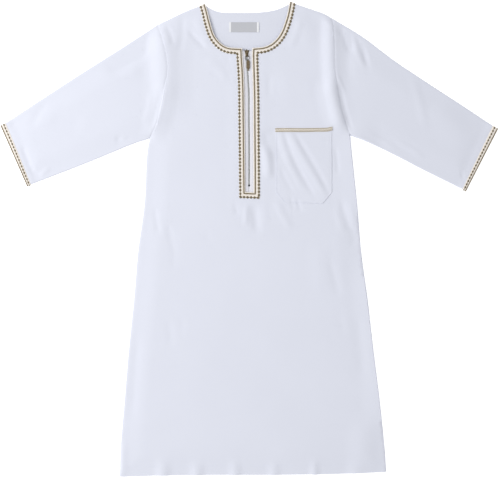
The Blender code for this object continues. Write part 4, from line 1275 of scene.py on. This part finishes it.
def build_pocket(props):
    """Chest pocket with turned-in edges."""
    loop = pocket_loop()
    border = np.vstack([loop, loop[:1]])
    inner = staggered(loop, 3.5, POCKET_FOOT, POCKET_TOP_RIGHT)
    inner = inner[near_line(border, inner)[0] > 4.2]
    rows = np.vstack([inset(loop, distance) for distance in POCKET_ROWS])
    points, triangles = lay_plan(loop, np.vstack([rows[inside(loop, rows)], inner]))
    gap, _ = near_line(border, points)
    fold = 0.25 * np.exp(-((gap - 7.0) / 3.0) ** 2)
    seam = 0.2 * np.exp(-((gap - 2.2) / 0.8) ** 2)
    outward, upward = ease((points[:, 0] - 90.0) / 60.0), ease((points[:, 1] - 630.0) / 30.0)
    raised = 0.12 + 0.8 * outward * (1.0 - 0.6 * upward)
    top = cloth_top(points)
    high = top + 0.15 + raised * round_over(gap, POCKET_ROUND) - seam + fold * 0.4
    cloth = shell(points, triangles, top + 0.05, high)
    piece = new_piece("pocket_patch", cloth, white_cloth(props), stands_for=("pocket",))


def bent(line):
    """The pocket trim's line: a little low past its middle, its outer end turned up."""
    share = (line[:, 0] - line[0, 0]) / (line[-1, 0] - line[0, 0])
    rise = TRIM_RISE * ease((share - 0.9) / 0.1) - TRIM_DROP * ease(share / 0.6)
    return line + np.column_stack([np.zeros(len(line)), rise])


def build_pocket_trim(props):
    """Gold trim on the pocket's top edge: two cords with a pale zigzag between."""
    ends = np.array([(POCKET_LEFT - 0.5, POCKET_TOP_LEFT), (POCKET_RIGHT + 0.5, POCKET_TOP_RIGHT)])
    places = bent(along(ends, np.linspace(0.0, 1.0, TRIM_PARTS + 1)))
    rows = [places + [0.0, across] for across, _ in TRIM_ROWS]
    ground = ribbon(rows, [TRIM_OVER + height for _, height in TRIM_ROWS], TRIM_BASE)
    new_piece("pocket_trim_ground", ground, cream_ground(props), stands_for=("pocket_braid",))
    fine = bent(along(ends, np.linspace(0.0, 1.0, 2 * TRIM_PARTS + 1)))
    swing = np.column_stack([np.zeros(len(fine)), 1.5 * np.sin(np.arange(len(fine)) * math.pi / 5.0)])
    gold = [rope(along_cloth(fine + [0.0, across], 1.75), UP, props.cord_width * wide, 0.46)
            for across, wide in TRIM_CORDS]
    gold.append(rope(along_cloth(fine + [0.0, TRIM_ZIGZAG] + swing, 1.7), UP, 0.3, 0.34, sides=6))
    new_piece("pocket_trim_gold", gathered(gold), trim_thread(props))


def build_tapes(props):
    """Woven tapes of the zip, with a raised cord along the teeth."""
    path = smooth_line(CHAIN_LINE, FINE_STEP)
    middle = np.vstack([[path[0][0], ZIP_TOP], path, [path[-1][0], TAPE_FOOT]])
    material = material_named("zip_tape_twill", tape_finish, tuple(props.tape))
    for name, slit, outward in (("left", SLIT_RIGHT, 1.0), ("right", SLIT_LEFT, -1.0)):
        edge = smooth_line([(slit[0][0], ZIP_TOP)] + slit[1:-1] + [(slit[-1][0], TAPE_FOOT)], FINE_STEP)
        outer = edge + [TAPE_UNDER * outward, 0.0]
        level = outer[:, 1]
        apart = 0.16 + 1.04 * ease((level - STOP_AT - 1.0) / 3.0)
        inner_x = np.interp(level, middle[::-1, 1], middle[::-1, 0]) + apart * outward
        rows = [np.column_stack([inner_x + (outer[:, 0] - inner_x) * share, level,
                                 np.full(len(level), TAPE_BASE + height)]) for share, height in TAPE_ROWS]
        rows.append(rows[-1] - [0.0, 0.0, 0.35])
        rows.append(rows[0] + [0.0, 0.0, -0.05])
        count, round_it = len(rows[0]), range(len(rows))
        faces = grid_faces(len(rows), count, loop_rows=True)
        faces.append(tuple(row * count for row in round_it))
        faces.append(tuple(row * count + count - 1 for row in reversed(round_it)))
        piece = new_piece("zip_tape_woven_" + name, shape(np.vstack(rows), faces), material,
                          stands_for=("zip_tape_" + name,))


def build_teeth(props):
    """Two rows of teeth in mesh, and the stop below them."""
    path = smooth_line(CHAIN_LINE, 2.0)
    pitch = props.tooth_pitch * MILLIMETRES
    count = int(length_of(path) / pitch * 2)
    places = at_distances(path, 0.6 + np.arange(count) * pitch / 2)
    half = 0.46 * pitch / 2
    tooth = np.array([(x, half * share) for x, share in TOOTH])
    right = plate(tooth, TOOTH_PROFILE)
    left = plate(np.column_stack([-tooth[:, 0], tooth[:, 1]])[::-1], TOOTH_PROFILE)
    teeth = [moved(right if number % 2 else left, (*place, 0.0)) for number, place in enumerate(places)]
    silver = material_named("zip_silver", metal_finish, tuple(props.teeth), 0.6, 0.32, 1.3)
    new_piece("zip_teeth", gathered(teeth), silver, stands_for=("zip_chain",))
    foot = path[-1]
    stop = plate([(foot[0] + x, foot[1] - SEAM - 1.7 + y) for x, y in mirrored(STOP_HALF)], STOP_PROFILE)
    dark = material_named("dark_nickel", metal_finish, (0.05, 0.055, 0.06), 0.8, 0.35, 1.6)
    new_piece("zip_end_stop", stop, dark, stands_for=("zip_stop",))


def brass(props):
    """Antique brass of slider and pull."""
    return material_named("cast_brass", metal_finish, tuple(props.brass), 0.85, 0.3, 2.6)


def tarnished(props):
    """Darker, tarnished brass of the slider's flutes and the ring."""
    colour = tuple(0.34 * part for part in props.brass)
    return material_named("tarnished_brass", metal_finish, colour, 0.6, 0.42, 2.0)


def strap(line, half_wide, thick):
    """Bent strap along an upright line of places (y, z), as wide as given, with rounded edges."""
    line = np.asarray(line, dtype=float)
    flat, half = half_wide - 0.2, thick / 2
    section = [(-half_wide, 0.0), (-flat, -half), (flat, -half),
               (half_wide, 0.0), (flat, half), (-flat, half)]
    points = [(x, place[0] + out[0] * step, place[1] + out[1] * step)
              for place, out in zip(line, left_of(line)) for x, step in section]
    rows, count = len(line), len(section)
    return shape(points, grid_faces(rows, count, loop_round=True) + end_faces(rows, count))


def flute(x, y):
    """One of the slider's flutes, from its tip back to the plate's narrow end."""
    places = [(x, y, 5.4), (x * 0.72, y - 3.6, 5.45), (x * 0.34, -1.0, 5.45), (x * 0.12, -4.6, 5.35)]
    line = smooth_line(places, 0.6)
    grow = np.linspace(0.0, 1.0, len(line))
    return rope(line, UP, 0.9 - 0.3 * np.sin(math.pi * grow) ** 2, 0.5 - 0.12 * grow)


def build_slider(props):
    """Slider: two plates with three fluted tips, the post between them and the bridge over the pin."""
    middle = (*SLIDER_AT, 0.0)
    outline = mirrored(PLATE_HALF)
    pin = -PIN_BACK
    arch = smooth_line([(pin - 1.95, BRIDGE_FOOT), (pin - 1.95, 7.3), (pin - 1.0, 8.5), (pin + 1.0, 8.6),
                        (pin + 2.9, 8.5), (pin + 3.85, 7.3), (pin + 3.85, BRIDGE_FOOT)], 0.4)
    cast = gathered([plate(outline, LOWER_PLATE), plate(outline, UPPER_PLATE), plate(POST, POST_HEIGHTS),
                     strap(arch, 0.8, 0.8)])
    new_piece("zip_slider_cast", moved(cast, middle), brass(props),
              stands_for=("zip_slider",), sharp=METAL_SHARP)
    flutes = gathered([flute(*tip) for tip in FLUTE_TIPS])
    new_piece("zip_slider_flutes", moved(flutes, middle), tarnished(props),
              sharp=METAL_SHARP)


def build_pull(props):
    """Ring and tab that swing on the slider's bridge."""
    turn = np.linspace(0.0, 2 * math.pi, 48, endpoint=False)
    circle = np.column_stack([RING_SHIFT + RING_WIDE * np.sin(turn), RING_TALL * (np.cos(turn) - 1.0),
                              np.zeros(len(turn))])
    ring = rope(circle, UP, RING_WIRE, RING_WIRE, sides=10, closed=True)
    tab = plate([(TAB_SHIFT + x, y) for x, y in mirrored(TAB_HALF)], TAB_PROFILE)
    bow = [(TAB_SHIFT - 1.6, -10.6, 0.35), (TAB_SHIFT, -10.1, 0.42), (TAB_SHIFT + 1.6, -10.6, 0.35)]
    collar = rope(smooth_line(bow, 0.4), UP, 0.5, 0.3)
    pin = (SLIDER_AT[0], SLIDER_AT[1] - PIN_BACK, PIN_HEIGHT)
    for name, item, material, stands_for in (
            ("zip_pull_cast", gathered([tab, collar]), brass(props), ("zip_pull",)),
            ("zip_pull_ring", ring, tarnished(props), ())):
        points = item.points.copy()
        points[:, 2] += points[:, 1] * math.tan(PULL_DROOP)
        new_piece(name, Shape(points + pin, item.faces, item.marks), material, body="pull",
                  stands_for=stands_for, sharp=METAL_SHARP)


def build_label(props):
    """Blank woven label with folded ends."""
    (left, right), (low, high) = LABEL_X, LABEL_Y
    columns = np.linspace(left, right, 31)
    fold = 0.25 * np.exp(-((np.minimum(columns - left, right - columns) - 1.5) / 2.0) ** 2)
    rows = []
    for share in np.linspace(0.0, 1.0, 9):
        bow = 0.18 * np.sin(columns / 11.0) * math.sin(math.pi * share)
        top = 1.75 + fold + bow - 0.1 * (min(share, 1.0 - share) < 0.06)
        rows.append(np.column_stack([columns, np.full(len(columns), low + (high - low) * share), top]))
    points = np.vstack(rows + [row - [0.0, 0.0, 0.45] for row in rows])
    satin = material_named("woven_satin", satin_finish, tuple(props.label))
    woven = shape(points, slab_faces(len(rows), len(columns)))
    piece = new_piece("neck_label_blank", woven, satin, stands_for=("neck_label",))


def build_stitching(props):
    """Sewing thread: hem, pocket, slit, armholes and the label's ends."""
    pitch, long = props.stitch * MILLIMETRES, props.stitch * 740.0
    hem = LINES["hem"] + [0.0, HEM_DEEP - 1.5]
    hem = hem[(hem[:, 0] > STITCHED_HEM[0]) & (hem[:, 0] < STITCHED_HEM[1])]
    pocket = inset(pocket_loop(), 2.0)
    pocket = pocket[pocket[:, 1] < POCKET_TOP_LEFT - 9.0]
    lines = [along_cloth(hem, hem_step(hem) + 0.1), along_cloth(pocket, 0.85)]
    for name, inward in zip(ARMHOLE_NAMES, (1.0, -1.0)):
        line = LINES[name][2:-2] + inward * 3.2 * left_of(LINES[name])[2:-2]
        line = line[inside(front_loop(), line)]
        lines.append(along_cloth(line, -seam_ditch(line)))
    lines.append(along_cloth(neck_row(-1.7, 3.0), 0.72))
    for x in (LABEL_X[0] + 1.0, LABEL_X[1] - 1.0):
        lines.append(np.array([(x, LABEL_Y[0] + 0.6, 2.0), (x, LABEL_Y[1] - 0.6, 2.0)]))
    runs = [thread_runs(line, UP, pitch, long, STITCH_RADIUS) for line in lines]
    under = np.column_stack([hem, np.full(len(hem), UNDER_RADIUS)])
    runs.append(thread_runs(under, DOWN, pitch, long, UNDER_RADIUS))
    thread = material_named("sewing_thread", cloth_finish, tuple(props.thread), 0.0004, 0.7, 0.1)
    new_piece("sewing_stitches", gathered(runs), thread)


def staged(name, data):
    """A new object of the studio, linked into the scene."""
    item = bpy.data.objects.new(name, data)
    bpy.context.scene.collection.objects.link(item)
    return item


def build_studio(props):
    """Floor, lights and the camera straight above."""
    mesh = bpy.data.meshes.new("studio_floor")
    corners = ((-1, -1), (1, -1), (1, 1), (-1, 1))
    mesh.from_pydata([(x * FLOOR_HALF, y * FLOOR_HALF, FLOOR_LEVEL) for x, y in corners], [], [(0, 1, 2, 3)])
    mesh.materials.append(floor_finish((0.92, 0.92, 0.92), props.floor_glow))
    staged("studio_floor", mesh)

    scene = bpy.context.scene
    scene.world = bpy.data.worlds.new("studio_dome")
    scene.world.use_nodes = True
    dome = scene.world.node_tree.nodes["Background"]
    dome.inputs["Color"].default_value = (1.0, 1.0, 1.0, 1.0)
    dome.inputs["Strength"].default_value = props.dome

    for (name, at, size), power in zip(LAMPS, (props.key, props.fill)):
        lamp = bpy.data.lights.new(name, "AREA")
        lamp.shape = "SQUARE"
        lamp.size = size
        lamp.energy = power
        light = staged(name, lamp)
        light.location = at
        light.rotation_euler = (-Vector(at)).to_track_quat("-Z", "Y").to_euler()

    lens = bpy.data.cameras.new("photo_camera")
    lens.lens = LENS
    lens.sensor_width = SENSOR
    scene.camera = staged("photo_camera", lens)
    scene.camera.location = (*CAMERA_AT, props.camera_height)
    scene.view_settings.view_transform = "Standard"


class ThobeCloth(bpy.types.PropertyGroup):
    """Cloth and sewing."""

    colour: bpy.props.FloatVectorProperty(
        name="Cloth colour", description="Bluish white of the robe's cloth", subtype="COLOR", size=3, min=0.0,
        max=1.0, default=(0.75, 0.772, 0.866))
    yarn_pitch: bpy.props.FloatProperty(
        name="Yarn pitch", description="Distance between two yarns of the weave", unit="LENGTH",
        subtype="DISTANCE", default=0.0006, precision=5)
    thread: bpy.props.FloatVectorProperty(
        name="Thread colour", description="Sewing thread", subtype="COLOR", size=3, min=0.0, max=1.0,
        default=(0.78, 0.80, 0.88))
    stitch: bpy.props.FloatProperty(
        name="Stitch", description="Length of one stitch with its gap", unit="LENGTH", subtype="DISTANCE",
        default=0.0032, precision=5)


class ThobeBraid(bpy.types.PropertyGroup):
    """Gold braid."""

    gold: bpy.props.FloatVectorProperty(
        name="Gold", description="Antique gold thread", subtype="COLOR", size=3, min=0.0, max=1.0,
        default=(0.26, 0.208, 0.12))
    cream: bpy.props.FloatVectorProperty(
        name="Cream", description="Cream ground between the gold lines", subtype="COLOR", size=3, min=0.0,
        max=1.0, default=(0.93, 0.865, 0.79))
    bead_pitch: bpy.props.FloatProperty(
        name="Bead pitch", description="Distance between two thread beads", unit="LENGTH", subtype="DISTANCE",
        default=0.007, precision=5)
    cord_width: bpy.props.FloatProperty(
        name="Cord width", description="Width of the gold edge cord", unit="LENGTH", subtype="DISTANCE",
        default=0.0026, precision=5)


class ThobeZip(bpy.types.PropertyGroup):
    """Zip and label."""

    tooth_pitch: bpy.props.FloatProperty(
        name="Tooth pitch", description="Distance between two teeth of one row", unit="LENGTH",
        subtype="DISTANCE", default=0.0018, precision=5)
    teeth: bpy.props.FloatVectorProperty(
        name="Teeth", description="Dull silver of the teeth", subtype="COLOR", size=3, min=0.0, max=1.0,
        default=(0.60, 0.61, 0.60))
    tape: bpy.props.FloatVectorProperty(
        name="Tape", description="White zip tape", subtype="COLOR", size=3, min=0.0, max=1.0,
        default=(0.80, 0.80, 0.86))
    brass: bpy.props.FloatVectorProperty(
        name="Brass", description="Antique brass of slider and pull", subtype="COLOR", size=3, min=0.0,
        max=1.0, default=(0.175, 0.135, 0.085))
    label: bpy.props.FloatVectorProperty(
        name="Label", description="Satin of the blank label", subtype="COLOR", size=3, min=0.0, max=1.0,
        default=(0.55, 0.56, 0.60))


class ThobeStudio(bpy.types.PropertyGroup):
    """Floor, lights and camera."""

    key: bpy.props.FloatProperty(
        name="Key light", description="Light from the left that shows the folds", unit="POWER", default=67.0)
    fill: bpy.props.FloatProperty(
        name="Fill light", description="Broad soft light from the hem's side", unit="POWER", default=9.0)
    dome: bpy.props.FloatProperty(
        name="Dome", description="Even light from all around", default=0.56)
    floor_glow: bpy.props.FloatProperty(
        name="Floor glow", description="How far the floor is lit to white", default=0.6)
    camera_height: bpy.props.FloatProperty(
        name="Camera height", description="Height of the camera over the floor", unit="LENGTH",
        subtype="DISTANCE", default=2.365)


class THOBE_OT_front(bpy.types.Operator):
    """Build the front panel"""

    bl_idname = "thobe.front"
    bl_label = "Front panel"

    def execute(self, context):
        build_front(context.scene.thobe_cloth)
        return {"FINISHED"}


class THOBE_OT_back(bpy.types.Operator):
    """Build the back panel"""

    bl_idname = "thobe.back"
    bl_label = "Back panel"

    def execute(self, context):
        build_back(context.scene.thobe_cloth)
        return {"FINISHED"}


class THOBE_OT_sleeves(bpy.types.Operator):
    """Build both sleeves"""

    bl_idname = "thobe.sleeves"
    bl_label = "Sleeves"

    def execute(self, context):
        build_sleeves(context.scene.thobe_cloth)
        return {"FINISHED"}


class THOBE_OT_pocket(bpy.types.Operator):
    """Build the chest pocket"""

    bl_idname = "thobe.pocket"
    bl_label = "Pocket"

    def execute(self, context):
        build_pocket(context.scene.thobe_cloth)
        return {"FINISHED"}


class THOBE_OT_stitching(bpy.types.Operator):
    """Sew the hem, pocket, slit and armholes"""

    bl_idname = "thobe.stitching"
    bl_label = "Stitching"

    def execute(self, context):
        build_stitching(context.scene.thobe_cloth)
        return {"FINISHED"}


class THOBE_OT_neck_braid(bpy.types.Operator):
    """Build the braid round neck and slit"""

    bl_idname = "thobe.neck_braid"
    bl_label = "Neck braid"

    def execute(self, context):
        build_neck_braid(context.scene.thobe_braid)
        return {"FINISHED"}


class THOBE_OT_cuff_braids(bpy.types.Operator):
    """Build the braid round both cuffs"""

    bl_idname = "thobe.cuff_braids"
    bl_label = "Cuff braids"

    def execute(self, context):
        build_cuff_braids(context.scene.thobe_braid)
        return {"FINISHED"}


class THOBE_OT_pocket_trim(bpy.types.Operator):
    """Build the pocket's gold trim"""

    bl_idname = "thobe.pocket_trim"
    bl_label = "Pocket trim"

    def execute(self, context):
        build_pocket_trim(context.scene.thobe_braid)
        return {"FINISHED"}


class THOBE_OT_zip_tapes(bpy.types.Operator):
    """Build the zip's tapes"""

    bl_idname = "thobe.zip_tapes"
    bl_label = "Zip tapes"

    def execute(self, context):
        build_tapes(context.scene.thobe_zip)
        return {"FINISHED"}


class THOBE_OT_zip_teeth(bpy.types.Operator):
    """Build the zip's teeth and end stop"""

    bl_idname = "thobe.zip_teeth"
    bl_label = "Zip teeth"

    def execute(self, context):
        build_teeth(context.scene.thobe_zip)
        return {"FINISHED"}


class THOBE_OT_zip_slider(bpy.types.Operator):
    """Build the zip's slider"""

    bl_idname = "thobe.zip_slider"
    bl_label = "Zip slider"

    def execute(self, context):
        build_slider(context.scene.thobe_zip)
        return {"FINISHED"}


class THOBE_OT_zip_pull(bpy.types.Operator):
    """Build the ring and tab of the zip"""

    bl_idname = "thobe.zip_pull"
    bl_label = "Zip pull"

    def execute(self, context):
        build_pull(context.scene.thobe_zip)
        return {"FINISHED"}


class THOBE_OT_label(bpy.types.Operator):
    """Build the blank neck label"""

    bl_idname = "thobe.label"
    bl_label = "Neck label"

    def execute(self, context):
        build_label(context.scene.thobe_zip)
        return {"FINISHED"}


class THOBE_OT_studio(bpy.types.Operator):
    """Set up floor, lights and camera"""

    bl_idname = "thobe.studio"
    bl_label = "Studio"

    def execute(self, context):
        build_studio(context.scene.thobe_studio)
        return {"FINISHED"}


STEPS = (THOBE_OT_front, THOBE_OT_back, THOBE_OT_sleeves, THOBE_OT_pocket, THOBE_OT_neck_braid,
         THOBE_OT_cuff_braids, THOBE_OT_pocket_trim, THOBE_OT_zip_tapes, THOBE_OT_zip_teeth,
         THOBE_OT_zip_slider, THOBE_OT_zip_pull, THOBE_OT_label, THOBE_OT_stitching, THOBE_OT_studio)
GROUPS = {
    "thobe_cloth": ThobeCloth,
    "thobe_braid": ThobeBraid,
    "thobe_zip": ThobeZip,
    "thobe_studio": ThobeStudio,
}


class THOBE_PT_panel(bpy.types.Panel):
    """Sizes, colours and steps of the robe"""

    bl_idname = "THOBE_PT_panel"
    bl_label = "Thobe robe"
    bl_space_type = "VIEW_3D"
    bl_region_type = "UI"
    bl_category = "Thobe"

    def draw(self, context):
        for name, group in GROUPS.items():
            box = self.layout.box()
            for prop in group.__annotations__:
                box.prop(getattr(context.scene, name), prop)
        for step in STEPS:
            self.layout.operator(step.bl_idname)


def register():
    """Make the settings, steps and panel known."""
    for item in (*GROUPS.values(), *STEPS, THOBE_PT_panel):
        bpy.utils.register_class(item)
    for name, group in GROUPS.items():
        setattr(bpy.types.Scene, name, bpy.props.PointerProperty(type=group))


def unregister():
    """Take them out again."""
    for name in GROUPS:
        delattr(bpy.types.Scene, name)
    for item in (THOBE_PT_panel, *reversed(STEPS), *GROUPS.values()):
        bpy.utils.unregister_class(item)


def main():
    """Build every piece in order and note the sizes."""
    register()
    for step in STEPS:
        group, name = step.bl_idname.split(".")
        getattr(getattr(bpy.ops, group), name)()
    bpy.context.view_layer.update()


if __name__ == "__main__":
    main()
